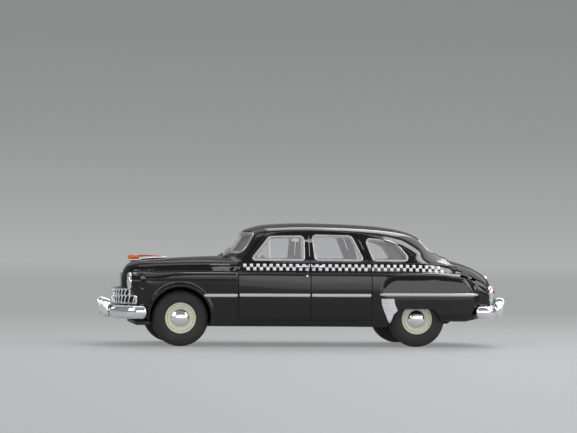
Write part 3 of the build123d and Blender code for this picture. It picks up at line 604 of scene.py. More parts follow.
def cut(ob, cutters):
    """Takes the cutters out of an object and removes them."""
    group = bpy.data.collections.new("cutters")
    scene.collection.children.link(group)
    for c in cutters:
        scene.collection.objects.unlink(c)
        group.objects.link(c)
    mod = ob.modifiers.new("cut", "BOOLEAN")
    mod.operation = "DIFFERENCE"
    mod.operand_type = "COLLECTION"
    mod.collection = group
    mod.solver = "MANIFOLD"
    mod.material_mode = "TRANSFER"
    bpy.context.view_layer.update()
    deps = bpy.context.evaluated_depsgraph_get()
    new = bpy.data.meshes.new_from_object(ob.evaluated_get(deps))
    ob.modifiers.clear()
    old = ob.data
    ob.data = new
    bpy.data.meshes.remove(old)
    for c in cutters:
        bpy.data.objects.remove(c)
    bpy.data.collections.remove(group)


# Body shell
FRONT_WINDOW = ((-18.6, 26.7, 0.9), (-12.2, 34.4, 1.8), (-0.9, 34.7, 1.5), (-1.1, 26.7, 1.1))
REAR_SIDE_WINDOW = ((2.1, 26.7, 1.2), (1.4, 35.0, 1.3), (14.1, 34.8, 2.0), (17.9, 26.7, 1.0))
QUARTER_WINDOW = ((20.6, 26.7, 1.2), (18.0, 34.2, 1.3), (28.0, 33.2, 8.0), (33.3, 26.7, 1.3))
SIDE_WINDOWS = (FRONT_WINDOW, REAR_SIDE_WINDOW, QUARTER_WINDOW)
SCREEN_OUTLINE = ((-15.2, 28.9, 1.8), (-13.2, 35.3, 1.4), (13.2, 35.3, 1.4), (15.2, 28.9, 1.8))
REAR_WINDOW = ((-11.0, 29.4, 1.6), (-9.4, 33.6, 1.6), (9.4, 33.6, 1.6), (11.0, 29.4, 1.6))
REAR_WING_ARCH = (
    (24.2, 4.0, 0.3), (28.2, 12.0, 2.2), (39.7, 12.0, 2.0), (42.2, 7.6, 0.6), (42.2, 4.0, 0.3),
)
SILL = (
    (-70.0, 0.0), (-70.0, 12.8), (-59.0, 12.4), (-55.3, 11.0), (-50.5, 8.6), (-48.0, 6.6), (24.8, 6.5),
    (25.4, 7.6), (41.9, 8.1), (50.0, 8.1), (54.0, 9.0), (58.2, 10.2), (61.0, 10.6), (70.0, 10.6), (70.0, 0.0),
)
HOLLOW = (
    (2.0, 21.6, ((-54.0, 16.2), (-48.0, 18.6), (-40.0, 19.1), (20.0, 19.1), (24.0, 19.9), (45.0, 19.9),
                 (48.0, 17.8), (54.0, 15.8))),
    (2.0, 12.3, ((-56.5, 12.6), (59.0, 12.6))),
    (21.5, 24.8, ((-52.5, 5.6), (-46.0, 9.0), (-30.0, 13.0), (-20.0, 16.5))),
    (21.5, 22.6, ((36.0, 15.4), (46.0, 13.0), (50.0, 10.4))),
    (21.5, 24.1, ((-20.5, 17.7), (25.0, 17.7), (42.0, 15.0))),
)
CABIN_WALL = 0.9


def cabin_inside(x, y, z):
    """The cabin's inner hollow."""
    f = section_form(x / (1.0 - CABIN_WALL / 42.0), y, z, GREEN_AT, wall=CABIN_WALL)
    f = np.maximum(f, screen_plane(y, z) + CABIN_WALL * 1.15 - x)
    return np.maximum(np.maximum(f, x - 43.5), 23.9 - z)


# The door frames run straight up to the drip rails, and the roof rounds over above them
rail = np.array([q for q in DRIP_RAIL if q[1] > 30.5])
rail_points, _ = on_side(rail)
FLAT_FRAMES.append((rail[:, 0], -rail_points[:, 1], rail[:, 1], np.array(GREEN_AT(rail[:, 0])[0])))


def closed_form(x, y, z):
    return np.maximum(form(x, y, z), 4.9 - z)


GAP_SECTION = ((0.5, 0.13), (0.5, -0.13), (-0.32, -0.13), (-0.32, 0.13))
GAPS = (
    ((-22.2, 8.4), (-22.2, 25.4)),
    ((-22.2, 25.4), (-21.4, 26.6), (-19.9, 27.6), (-13.4, 35.3), (-11.4, 35.9), (0.5, 36.3)),
    ((0.5, 36.3), (0.5, 8.4)),
    ((0.5, 36.3), (13.6, 36.1), (15.6, 35.2), (19.6, 26.4), (19.8, 25.0), (19.8, 8.4)),
    ((-22.2, 8.4), (19.8, 8.4)),
    ((-55.4, 23.4), (-52.0, 24.3), (-46.0, 24.7), (-25.0, 25.2)),
)
GAP_STEP = 0.6
ACROSS = (-30, 30)
net_v, net_f = surface(closed_form, (-60.6, -23.1, 4.4), (61.8, 23.1, 39.6), (0.5, 0.5, 0.5))
above = net_v[:, 2] > 5.3
net_v[above] = onto(net_v[above])
shell = paint(outward_faces(mesh_object("body shell", net_v, net_f)), PAINT)
in_v, in_f = surface(cabin_inside, (-28.0, -19.9, 22.6), (45.5, 19.9, 39.6), (1.0, 1.0, 1.0))
cutters = [paint(outward_faces(mesh_object("cabin cut", onto(in_v, cabin_inside), in_f)), LINING)]


def cutter(part, mat=PAINT):
    cutters.append(paint(outward_faces(mesh_object("cutter", part[0], part[1], False)), mat))


for z0, z1, plan in HOLLOW:
    cutter(prism([(x, -y) for x, y in plan] + list(plan[::-1]), "z", z0, z1), DARK)
cutter(prism(SILL, "y", *ACROSS), DARK)
turn = np.linspace(0, 2 * math.pi, 97)[:-1]
arch = np.stack([ARCH_X + ARCH_R * np.cos(turn), ARCH_Z + ARCH_R * np.sin(turn)], axis=1)
cutter(prism(arch, "y", *ACROSS))
cutter(prism(round_outline(REAR_WING_ARCH, 6), "y", *ACROSS))
for outline in SIDE_WINDOWS:
    cutter(prism(round_outline(outline, 8), "y", *ACROSS))
cutter(prism(round_outline(SCREEN_OUTLINE, 8), "x", -34, -6))
cutter(prism(round_outline(REAR_WINDOW, 8), "x", 30, 52))
boot_side = on_top(dense(((45.6, -12.4), (57.0, -12.0)), GAP_STEP))
boot_back = on_tail(dense(((-12.0, 20.6), (-11.6, 12.6)), GAP_STEP))
side_gaps = [on_side(dense(path, GAP_STEP)) for path in GAPS]
side_gaps.append([np.concatenate(pair) for pair in zip(boot_side, boot_back)])
for p, n in side_gaps:
    gap = profile_sweep(p, n, GAP_SECTION)
    cutter(gap, DARK)
    cutter(mirrored(gap), DARK)
p, n = on_top(dense(((45.6, -12.4), (45.6, 12.4)), GAP_STEP))
cutter(profile_sweep(p, n, GAP_SECTION), DARK)
cut(shell, cutters)


def joined(ob, part, mat):
    """Adds a closed part to an object, in a material that it already has."""
    extra = outward_faces(mesh_object("extra", part[0], part[1], False))
    bm = bmesh.new()
    bm.from_mesh(ob.data)
    first = len(bm.faces)
    bm.from_mesh(extra.data)
    bm.faces.ensure_lookup_table()
    slot = list(ob.data.materials).index(mat)
    for face in bm.faces[first:]:
        face.material_index = slot
    bm.to_mesh(ob.data)
    bm.free()
    bpy.data.objects.remove(extra)


# Web along the middle of the engine bay, seen over the front tyres
joined(shell, prism(((-51.0, 12.0), (-27.0, 12.0), (-27.0, 22.0), (-51.0, 22.0)), "y", -0.5, 0.5), DARK)


def read(items, field, width=1, kind=float):
    """One field of mesh items as an array."""
    values = np.empty(len(items) * width, kind)
    items.foreach_get(field, values)
    return values.reshape(-1, width) if width > 1 else values


def true_normals(ob, mat, tol=0.03):
    """Gives faces that lie on the form its own normals, and leaves cut faces flat."""
    me = ob.data
    co = read(me.vertices, "co", 3) / MM
    slope = slope_of(co)
    length = np.maximum(np.linalg.norm(slope, axis=1), 1e-6)
    on = np.abs(form(*co.T) / length) < tol
    slope /= length[:, None]
    corner = read(me.loops, "vertex_index", 1, np.int32)
    face_of = np.repeat(np.arange(len(me.polygons)), read(me.polygons, "loop_total", 1, np.int32))
    flat = read(me.polygons, "normal", 3)
    lies = np.ones(len(me.polygons), bool)
    np.logical_and.at(lies, face_of, on[corner])
    agree = np.ones(len(me.polygons))
    np.minimum.at(agree, face_of, np.sum(slope[corner] * flat[face_of], axis=1))
    painted = np.array([m == mat for m in me.materials])[read(me.polygons, "material_index", 1, np.int32)]
    use = lies & painted & (agree > 0.5)
    me.polygons.foreach_set("use_smooth", np.ones(len(me.polygons), bool))
    me.normals_split_custom_set(np.where(use[face_of][:, None], slope[corner], flat[face_of]).tolist())


true_normals(shell, PAINT)
fitted(shell, "body_shell")


# Beads of the windows
def window_bead(outline, place, inset, half_w, half_n, sink=0.0, ring=12, power=0.85):
    """A bead along a window's outline, moved inwards by inset and sunk below the surface."""
    p, n = place(closed_path(shrink(round_outline(outline, 8), inset)))
    return sweep(p - n * sink, n, half_w, half_n, closed=True, ring=ring, power=power)


p, n = on_side(dense(((-12.05, 27.0), (-12.05, 34.1)), 0.4))
beads = [sweep(p - n * 0.1, n, 0.2, 0.2)]
for outline in SIDE_WINDOWS:
    beads.append(window_bead(outline, on_side, 0.2, 0.27, 0.24))
    beads.append(window_bead(outline, on_side, 0.62, 0.16, 0.16, 0.28, 8, 1.0))
piece(both(*beads), "side_window_beads", SILVER, "side_window_frames")
beads = [window_bead(SCREEN_OUTLINE, on_front, 0.18, 0.38, 0.26),
         window_bead(SCREEN_OUTLINE, on_front, 0.72, 0.16, 0.16, 0.22, 8, 1.0)]
piece(merged(beads), "windscreen_bead", SILVER, "windscreen_frame")
piece(window_bead(REAR_WINDOW, on_tail, 0.18, 0.34, 0.24), "rear_window_bead", SILVER, "rear_window_frame")

# Side strips, each row as (path, length of the taper at its start, and at its end)
STRIPS = (
    (((-33.0, 15.9), (-22.45, 15.95)), 1.0, 0.12),
    (((-21.95, 16.05), (0.3, 16.1)), 0.12, 0.12),
    (((0.72, 16.1), (19.58, 16.15)), 0.12, 0.12),
    (((22.2, 16.45), (54.1, 16.55)), 2.2, 2.6),
)
STRIP_SECTION = (
    (-0.15, -0.52), (0.12, -0.5), (0.26, -0.34), (0.32, 0.0), (0.26, 0.34), (0.12, 0.5), (-0.15, 0.52),
)
strips = []
for path, head, foot in STRIPS:
    q = dense(path, 0.25)
    s = np.clip(np.minimum((q[:, 0] - q[0, 0]) / head, (q[-1, 0] - q[:, 0]) / foot), 0.0, 1.0)
    s = np.sqrt(s * (2 - s)) * 0.92 + 0.08
    strips.append(profile_sweep(*on_side(q), STRIP_SECTION, np.stack([0.4 + 0.6 * s, s], axis=1)))
piece(both(*strips), "side_strips_bright", STRIP, "side_strips", angle=50)

# Drip rails over the side windows, the belt crease over the checker band and the raised edge of the
# rear wing, in the body's paint. Rows are (path, half width, half height).
WING_EDGE = (
    (22.9, 17.4), (23.5, 19.8), (25.2, 21.6), (28.0, 22.3), (34.0, 22.5), (44.0, 22.3), (50.0, 21.5),
    (52.8, 20.0), (54.2, 17.6),
)
BELT_CREASE = ((1.0, 26.15), (30.0, 26.1), (40.0, 25.9), (48.0, 25.1))
RAILS = ((DRIP_RAIL, 0.2, 0.28), (BELT_CREASE, 0.24, 0.24), (WING_EDGE, 0.2, 0.14))
rails = [sweep(*on_side(curve(path, 0.4)), half_w, half_n) for path, half_w, half_n in RAILS]
piece(both(*rails), "drip_rails", PAINT)

# Stone guards with fine level ribs, as rows of (z, x at the front edge, x at the rear edge)
GUARD_ROWS = (
    (7.75, 25.3, 25.75), (8.4, 24.95, 25.95), (10.3, 24.1, 26.55), (11.5, 23.6, 27.75), (12.1, 23.35, 27.5),
    (13.4, 22.95, 26.95), (15.2, 22.75, 26.65),
)
RIB_PITCH = 0.62
RIB_HEIGHT = 0.1
g = np.array(GUARD_ROWS)
z = np.arange(g[0, 0], g[-1, 0] + 0.01, RIB_PITCH / 6)
x0, x1 = np.interp(z, g[:, 0], g[:, 1]), np.interp(z, g[:, 0], g[:, 2])
xs = x0[:, None] + (x1 - x0)[:, None] * np.linspace(0, 1, 13)
zs = z[:, None] + 0 * xs
ribs = RIB_HEIGHT * (1 + np.abs(np.sin(np.pi * zs / RIB_PITCH)) ** 0.6)
p, n = (q.reshape(*zs.shape, 3) for q in on_side(np.stack([xs.ravel(), zs.ravel()], axis=1)))
piece(both(sheet(p, n, ribs)), "stone_guards_ribbed", WHITE_METAL, "stone_guards", angle=60)

# Checker band: two rows of squares, broken at the door gaps
SQUARE = 1.03
BAND_FOOT = 23.72
BAND_START = -20.6
BAND_COLUMNS = 62
DOOR_GAPS = (0.5, 19.8)
squares = []
for row in (0, 1):
    for column in range(1 - row, BAND_COLUMNS, 2):
        a = BAND_START + column * SQUARE
        foot = BAND_FOOT + row * SQUARE - 0.045 * max(0.0, a - 33.0)
        spans = [(a, a + SQUARE)]
        for gap in DOOR_GAPS:
            sides = [s for lo, hi in spans for s in ((lo, min(hi, gap - 0.2)), (max(lo, gap + 0.2), hi))]
            spans = [s for s in sides if s[1] - s[0] > 0.12]
        for lo, hi in spans:
            q = [(x, z) for x in np.linspace(lo, hi, 4) for z in np.linspace(foot, foot + SQUARE, 4)]
            p, n = (side.reshape(4, 4, 3) for side in on_side(q))
            squares.append(sheet(p, n, 0.025, -0.05))
piece(both(*squares), "checker_squares", WHITE)


# Grille: chrome bars on an arc in plan, with slanted uprights
def nose_points(y, z, out=0.0):
    y = np.asarray(y, float)
    bow = np.sqrt(NOSE_R**2 - y * y)
    p = np.stack([NOSE_X - out + NOSE_R - bow, y, np.broadcast_to(z, y.shape)], axis=1)
    return p, np.stack([-bow, y, 0 * y], axis=1) / NOSE_R


GRILLE_LEVELS = ((17.52, 16.0), (15.6, 18.8), (13.2, 18.8))
GRILLE_ENDS = ((18.8, 13.2, 15.7), (16.1, 15.6, 17.6))
GRILLE_ROWS = ((15.75, 17.4, 8), (13.35, 15.45, 9))
GRILLE_BACKS = ((13.1, 15.6, 18.9), (15.6, 17.6, 16.0))
BAR_PITCH = 2.1
BAR_LEAN = 0.35
bars = []
for z, half in GRILLE_LEVELS:
    bars.append(sweep(*nose_points(np.linspace(-half, half, 81), z, 0.4), 0.27, 0.55, ring=12, power=0.7))
for low, high, count in GRILLE_ROWS:
    for i in range(-count, count):
        y = (i + 0.5) * BAR_PITCH
        y = y + np.linspace(BAR_LEAN, -BAR_LEAN, 6) * (1 if y < 0 else -1)
        bars.append(sweep(*nose_points(y, np.linspace(low, high, 6), 0.35), 0.24, 0.45, ring=8, power=0.7))
for side in (-1, 1):
    for half, low, high in GRILLE_ENDS:
        p, n = nose_points(np.full(6, half * side), np.linspace(low, high, 6), 0.4)
        bars.append(sweep(p, n, 0.3, 0.55, ring=8, power=0.7))
piece(merged(bars), "grille_bars", CHROME, "grille")
backs = []
for low, high, half in GRILLE_BACKS:
    grid = [nose_points(np.linspace(-half, half, 61), z, 0.06) for z in (low, high)]
    backs.append(sheet(*(np.stack(q) for q in zip(*grid)), 0.0, -0.15))
piece(merged(backs), "grille_back", DARK)

# Headlamps
FORWARD = (-1.0, 0.0, 0.0)
RIM_SECTION = (
    (-0.4, 2.5), (0.28, 2.55), (0.34, 2.74), (0.6, 2.76), (0.9, 2.62), (1.05, 2.42), (1.0, 2.2), (0.6, 2.06),
    (-0.4, 2.1),
)
BOWL = (
    (0.75, 2.1), (0.2, 1.9), (-0.35, 1.3), (-0.6, 0.6), (-0.65, 0.02), (-0.85, 0.02), (-0.8, 1.4), (0.2, 2.1),
)
GLASS_SECTION = (
    (0.75, 2.08), (1.15, 1.6), (1.4, 0.9), (1.48, 0.02), (1.33, 0.02), (1.25, 0.9), (1.0, 1.6), (0.65, 2.06),
)
piece(both(turned(RIM_SECTION, LAMP, FORWARD)), "headlamp_rims_bright", CHROME, "headlamp_rims", angle=50)
piece(both(turned(BOWL, LAMP, FORWARD)), "headlamp_bowls", CHROME, angle=50)
piece(both(turned(GLASS_SECTION, LAMP, FORWARD)), "headlamp_glass", LENS, "headlamp_lenses", angle=50)


# Bumpers
def bumper_path(front_x, radius, corner_y, end_x, end_y, direction):
    """The bumper's outer line in plan: an arc with swept back ends."""
    y = np.linspace(0, corner_y, 24)
    arc = np.stack([front_x + direction * (radius - np.sqrt(radius**2 - y * y)), y], axis=1)
    slope = np.array([direction * corner_y, math.sqrt(radius**2 - corner_y**2)]) / radius
    p0, p3 = arc[-1], np.array([end_x, end_y])
    reach = np.linalg.norm(p3 - p0) * 0.5
    p1 = p0 + slope * reach
    p2 = p3 - np.array([direction * 1.0, 0.06]) * reach * 0.6
    t = np.linspace(0, 1, 22)[1:, None]
    bend = (1 - t) ** 3 * p0 + 3 * (1 - t) ** 2 * t * p1 + 3 * (1 - t) * t * t * p2 + t**3 * p3
    half = np.concatenate([arc, bend])
    return np.concatenate([half[::-1] * np.array([1, -1]), half[1:]])


def bumper_blade(path, mid_z, section, direction):
    p = np.insert(dense(path, 0.5), 2, mid_z, axis=1)
    n = np.cross(np.array([0, 0, direction]), unit(np.gradient(p, axis=0)))
    run = np.arange(len(p)) * 0.5
    e = np.clip(np.minimum(run, run[::-1]) / 1.4, 0, 1)
    return profile_sweep(p, n, section, 0.45 + 0.55 * np.sqrt(e * (2 - e)))


FRONT_BLADE = (
    (-1.3, -1.7), (-0.5, -2.05), (0.0, -1.85), (0.42, -1.2), (0.6, -0.4), (0.6, 0.5), (0.42, 1.2),
    (0.0, 1.85), (-0.5, 2.05), (-1.3, 1.7), (-1.0, 1.3), (-0.3, 0.6), (-0.3, -0.6), (-1.0, -1.3),
)
REAR_BLADE = tuple((a * 0.95, b * 0.92) for a, b in FRONT_BLADE)
path = bumper_path(-62.6, 34.0, 17.6, -50.8, 21.2, 1)
piece(bumper_blade(path, 10.55, FRONT_BLADE, 1), "front_bumper_blade", CHROME, "front_bumper", angle=60)
path = bumper_path(62.3, 60.0, 18.2, 53.0, 21.2, -1)
piece(bumper_blade(path, 11.05, REAR_BLADE, -1), "rear_bumper_blade", CHROME, "rear_bumper", angle=60)

# Overriders, seen from the side as (x, z)
FRONT_HORN = (
    (-64.25, 13.5), (-63.9, 14.4), (-62.9, 14.6), (-61.4, 14.2), (-60.8, 13.6), (-61.6, 12.7),
    (-61.8, 9.6), (-61.6, 8.8), (-62.9, 8.7), (-63.7, 9.8),
)
REAR_HORN = (
    (61.0, 14.5), (61.6, 15.2), (62.8, 15.35), (63.9, 15.1), (64.25, 14.1), (63.9, 12.6), (63.6, 9.8),
    (62.8, 9.0), (61.4, 9.2), (61.5, 13.2),
)
HORN_HALF = 1.15


def horn(outline, middle_y):
    """A rounded upright pad: its outline gets smaller towards both faces."""
    o = closed_path(curve(list(outline) + [outline[0]], 0.25)[:-1], 0.25)
    mid = o.mean(axis=0)
    rows = []
    for t in np.linspace(-1, 1, 13):
        k = math.sqrt(max(0.0, 1 - abs(t) ** 3.2)) * 0.42 + 0.58
        q = mid + (o - mid) * np.array([0.55 + 0.45 * k, k * 0.94 + 0.06])
        rows.append(np.insert(q, 1, middle_y + HORN_HALF * t, axis=1))
    return stacked(rows)


piece(both(horn(FRONT_HORN, -9.0)), "front_horns", CHROME, "front_overriders", angle=55)
piece(both(horn(REAR_HORN, -10.0)), "rear_horns", CHROME, "rear_overriders", angle=55)

# Bonnet ornament, as rows of (x, foot z, top z, half width)
WEDGE = (
    (-55.1, 27.0, 27.9, 0.25), (-54.7, 26.6, 28.12, 0.5), (-53.4, 26.5, 28.14, 0.62),
    (-52.0, 26.9, 28.08, 0.6), (-51.6, 27.1, 28.0, 0.45),
)
WEDGE_EDGE = (
    (-51.9, 27.5, 28.1, 0.3), (-49.0, 27.6, 28.1, 0.28), (-46.0, 27.6, 28.0, 0.22),
    (-44.4, 27.6, 27.85, 0.12),
)
FIN = (
    (-54.6, 25.9, 26.9, 0.6), (-52.0, 26.2, 27.0, 0.7), (-50.0, 26.5, 27.7, 0.5), (-46.0, 26.9, 27.8, 0.4),
    (-43.4, 27.1, 27.7, 0.22), (-42.6, 27.3, 27.5, 0.08),
)
piece(round_rows(WEDGE, 0), "ornament_red", AMBER, "bonnet_ornament", angle=60)
piece(round_rows(WEDGE_EDGE, 0), "ornament_edge", RED)
piece(round_rows(FIN, 0), "ornament_blade", CHROME, "ornament_fin", angle=60)

# Tail lamps, as rows of (z, front x, rear x, half width), and the boot handle
BACKWARD = (1.0, 0.0, 0.0)
TAIL_LAMP_Y = -15.6
LAMP_ROWS = (
    (13.1, 58.2, 58.9, 0.4), (14.2, 57.9, 59.1, 0.65), (15.6, 57.8, 59.35, 0.9), (16.8, 57.6, 59.6, 1.1),
    (18.0, 57.6, 59.6, 1.05), (18.7, 57.6, 59.2, 0.8), (19.1, 57.7, 58.7, 0.4),
)
LENS_SECTION = ((-0.4, 0.8), (0.15, 0.78), (0.38, 0.64), (0.5, 0.36), (0.54, 0.02), (-0.4, 0.02))
LATCH_SECTION = ((-0.3, 0.62), (0.7, 0.6), (0.95, 0.4), (1.0, 0.02), (-0.3, 0.02))
case = round_rows(LAMP_ROWS, 2, TAIL_LAMP_Y, 18)
piece(both(case), "tail_lamp_cases", CHROME, "tail_lamp_housings", angle=60)
lens = turned(LENS_SECTION, (59.5, TAIL_LAMP_Y, 17.4), BACKWARD, 32)
piece(both(lens), "tail_lamp_reds", RED, "tail_lenses", angle=60)
p, n = on_tail([(y, 21.0) for y in np.linspace(-1.9, 1.9, 9)])
arch_lift = 0.85 * np.sin(np.linspace(0, math.pi, 9)) + 0.15
handle = sweep(p + n * arch_lift[:, None], n, 0.4, 0.3)
p, n = on_tail(((0.0, 20.4), (0.0, 21.9)))
latch = turned(LATCH_SECTION, (p[:, 0].mean(), 0.0, 21.4), BACKWARD, 24)
piece(merged([handle, latch]), "boot_handle_bright", CHROME, "boot_handle", angle=60)


# Door handles with round seats, and a key button
def boss(x, z, rows, steps):
    """A small round piece that stands on the side of the body, as rows of (outward, radius)."""
    p, n = on_side(((x, z),))
    u = unit(np.cross(n[0], (1.0, 0.0, 0.0)))
    a = 2 * math.pi * np.arange(steps) / steps
    spokes = np.outer(np.cos(a), u) + np.outer(np.sin(a), np.cross(n[0], u))
    return stacked([p[0] + n[0] * out + r * spokes for out, r in rows])


handles = []
for root, tip, way in ((-3.7, -0.1, 1), (4.5, 0.9, -1)):
    p, n = on_side(dense(((root, 24.95), (tip, 25.0)), 0.2))
    run = np.linspace(0, 1, len(p))
    lift = 0.18 + 0.5 * np.sqrt(np.clip(run * 3, 0, 1))
    size = 0.75 + 0.25 * np.sin(np.pi * run)
    handles.append(sweep(p + n * lift[:, None], n, 0.3, 0.24, power=0.8, scale=size))
    for x, r in ((root + 0.35 * way, 0.42), (tip - 0.5 * way, 0.62)):
        handles.append(boss(x, 24.97, ((-0.2, r), (0.12, r), (0.3, r * 0.7), (0.62, r * 0.45)), 20))
handles.append(boss(-0.75, 22.05, ((-0.2, 0.38), (0.12, 0.38), (0.26, 0.24), (0.3, 0.02)), 16))
piece(both(*handles), "door_handles_bright", CHROME, "door_handles", angle=50)

# Plain strip on each side of the bonnet
q = dense(((-30.6, 25.35), (-24.4, 25.45)), 0.25)
e = np.clip(np.minimum(q[:, 0] - q[0, 0], q[-1, 0] - q[:, 0]) / 0.5, 0, 1) * 0.9 + 0.1
strip = profile_sweep(*on_side(q), [(a * 0.7, b * 0.5) for a, b in STRIP_SECTION], e)
piece(both(strip), "bonnet_strips_bright", DULL, "bonnet_strips", angle=50)

# Wipers lying on the foot of the windscreen
wipers = []
for pivot, tip in ((-6.5, -1.0), (5.0, 10.5)):
    p, n = on_front(np.linspace((pivot, 29.1), (tip, 30.3), 16))
    wipers.append(sweep(p + n * 0.35, n, 0.12, 0.12, ring=8))
    p, n = on_front(np.linspace((pivot + 1.5, 29.35), (tip + 2.2, 30.5), 16))
    wipers.append(sweep(p + n * 0.14, n, 0.1, 0.16, ring=6))
    x, _, z = on_top(((-25.3, pivot),))[0][0]
    seat = ((-0.5, -0.2, 0.5, 0.45), (0.4, -0.1, 0.9, 0.5), (1.1, 0.4, 1.2, 0.25))
    wipers.append(round_rows(np.array(seat) + (x, z, z, 0), 0, pivot))
piece(merged(wipers), "wipers_bright", DULL, "wipers", angle=60)

# Wheels, with sections as (across, radius) from the middle of the tyre
TRACK_HALF = 17.2
WHEEL_R = 8.8
TYRE_HALF = (
    (-1.9, 4.78), (-2.12, 5.25), (-2.2, 6.4), (-2.16, 7.2), (-2.0, 7.9), (-1.86, 8.25), (-1.72, 8.5),
    (-1.4, 8.68), (-1.0, 8.76), (-0.85, 8.6), (-0.7, 8.77), (-0.15, 8.8),
)
TYRE_SECTION = TYRE_HALF + ((0.0, 8.62),) + tuple((-a, r) for a, r in TYRE_HALF[::-1])
RIM_PROFILE = (
    (-1.8, 0.8), (-1.8, 4.84), (1.75, 4.84), (1.9, 4.78), (1.94, 4.64), (1.84, 4.42), (1.54, 4.32),
    (1.42, 4.18), (1.5, 4.02), (1.62, 3.88), (1.6, 3.72), (1.46, 3.6), (1.36, 3.46), (1.4, 3.3), (1.3, 3.1),
    (1.1, 2.95), (1.1, 0.8),
)
CAP_PROFILE = (
    (0.9, 0.02), (0.9, 2.78), (1.3, 2.76), (1.44, 2.68), (1.5, 2.55), (1.66, 2.38), (1.95, 1.95),
    (2.12, 1.45), (2.22, 1.0), (2.27, 0.5), (2.28, 0.02),
)
TREADS = 60
TREAD_STEPS = 4
TREAD_DEPTH = 0.14


def tyre_mesh(x, side):
    across, radius = np.array(TYRE_SECTION).T
    slot = np.where((np.abs(across) > 0.95) & (radius > 7.8), TREAD_DEPTH, 0.0)
    rows = []
    for i in range(TREADS * TREAD_STEPS):
        a = 2 * math.pi * i / (TREADS * TREAD_STEPS)
        r = radius - slot if i % TREAD_STEPS == 0 else radius
        y = side * (TRACK_HALF + across)
        rows.append(np.stack([x + r * math.cos(a), y, WHEEL_R + r * math.sin(a)], axis=1))
    return stacked(rows, closed=True)


def wheel_pair(section, x):
    """A turned piece in both wheels of an axle."""
    return merged([turned(section, (x, side * TRACK_HALF, WHEEL_R), (0, side, 0), 96) for side in (-1, 1)])


for end, x in (("front", -40.0), ("rear", 34.4)):
    body = end + "_wheels"
    for side, word in ((-1, "left"), (1, "right")):
        piece(tyre_mesh(x, side), f"{end}_tyre_tread_{word}", RUBBER, f"{end}_tyre_{word}", body, 45)
    piece(wheel_pair(RIM_PROFILE, x), f"{end}_rims_cream", CREAM, f"{end}_rims", body, 60)
    piece(wheel_pair(CAP_PROFILE, x), f"{end}_caps_bright", CHROME, f"{end}_hubcaps", body, 60)


# Seats with pleated faces
PLEAT = 0.12
BACK_LEAN = 0.32


def seat_form(x0, x1, back_x, half, foot, cushion_z, top_z, pitch=2.4):
    def f(x, y, z):
        pleat = PLEAT * np.abs(np.sin(math.pi * y / pitch)) ** 0.5 - PLEAT
        rise = np.abs(z - (foot + cushion_z) / 2) - (cushion_z - foot) / 2 - pleat * (z > foot + 2)
        low = smax(smax(np.abs(x - (x0 + x1) / 2) - (x1 - x0) / 2, np.abs(y) - half, 0.9), rise, 0.9)
        bx = x - back_x - (z - cushion_z) * BACK_LEAN
        rise = np.abs(z - (foot + top_z) / 2) - (top_z - foot) / 2
        back = smax(smax(np.abs(bx) - 1.5 - pleat, np.abs(y) - half, 0.8), rise, 0.9)
        return smin(low, back, 0.4)
    return f


FRONT_BENCH = seat_form(-9.6, 1.0, 0.4, 15.0, 11.5, 16.3, 24.4)
REAR_BENCH = seat_form(22.4, 33.0, 31.6, 13.1, 11.5, 16.8, 24.8)
for name, node, bench, low, high in (
    ("front_bench", "front_seat", FRONT_BENCH, (-11, -16, 11), (6, 16, 26)),
    ("rear_bench", "rear_seat", REAR_BENCH, (21, -14.5, 11), (37, 14.5, 26)),
):
    piece(surface(bench, low, high, (0.45, 0.3, 0.45)), name, SEAT, node)

# Steering wheel
CENTRE = np.array((-11.0, -8.0, 24.2))
AXIS = np.array((-0.8645, 0.0, -0.5026))
SIDEWAYS = np.array((0.0, 1.0, 0.0))
UPWARD = np.cross(AXIS, SIDEWAYS)


def wheel_point(radius, angle):
    return CENTRE + radius * (SIDEWAYS * math.cos(angle) + UPWARD * math.sin(angle))


ring = np.array([wheel_point(4.5, a) for a in np.linspace(0, 2 * math.pi, 65)[:-1]])
wheel_parts = [sweep(ring, ring - CENTRE, 0.3, 0.3, closed=True)]
for degrees in (200, 340, 90):
    line = dense((CENTRE, wheel_point(4.4, math.radians(degrees))), 0.4)
    wheel_parts.append(sweep(line, np.tile(AXIS, (len(line), 1)), 0.22, 0.14, ring=8))
line = dense((CENTRE - AXIS * 0.5, CENTRE + AXIS * 4.6), 0.4)
wheel_parts.append(sweep(line, np.tile(SIDEWAYS, (len(line), 1)), 0.5, 0.5, ring=12))
piece(merged(wheel_parts), "steering_wheel_ivory", IVORY, "steering_wheel", angle=60)

# Underside, tucked up under the sills: rows of (x, lift) over the frame's base plate
LIFT = (
    (-60.0, 1.3), (-50.0, 1.3), (-46.5, 0.9), (42.8, 0.9), (45.2, 2.7), (50.0, 2.8), (54.0, 3.8), (60.0, 3.8),
)
PLATE_FOOT = 5.4
PLATE_TOP = 7.0
RELIEF = 0.35


def tucked(node, name, mat):
    """A copy of a node whose plate is lifted and whose relief below the plate is shallower."""
    bm = bmesh.new()
    bm.from_mesh(NODES[node].data)
    for x, _ in LIFT[1:-1]:
        everything = bm.verts[:] + bm.edges[:] + bm.faces[:]
        bmesh.ops.bisect_plane(bm, geom=everything, dist=1e-7, plane_co=(x * MM, 0, 0), plane_no=(1, 0, 0))
    for v in bm.verts:
        z = v.co.z / MM
        if z < PLATE_TOP:
            lift = np.interp(v.co.x / MM, *zip(*LIFT))
            v.co.z = (max(z, PLATE_FOOT) - RELIEF * max(PLATE_FOOT - z, 0.0) + lift) * MM
    me = bpy.data.meshes.new(name)
    bm.to_mesh(me)
    bm.free()
    ob = bpy.data.objects.new(name, me)
    scene.collection.objects.link(ob)
    fitted(paint(ob, mat), node)


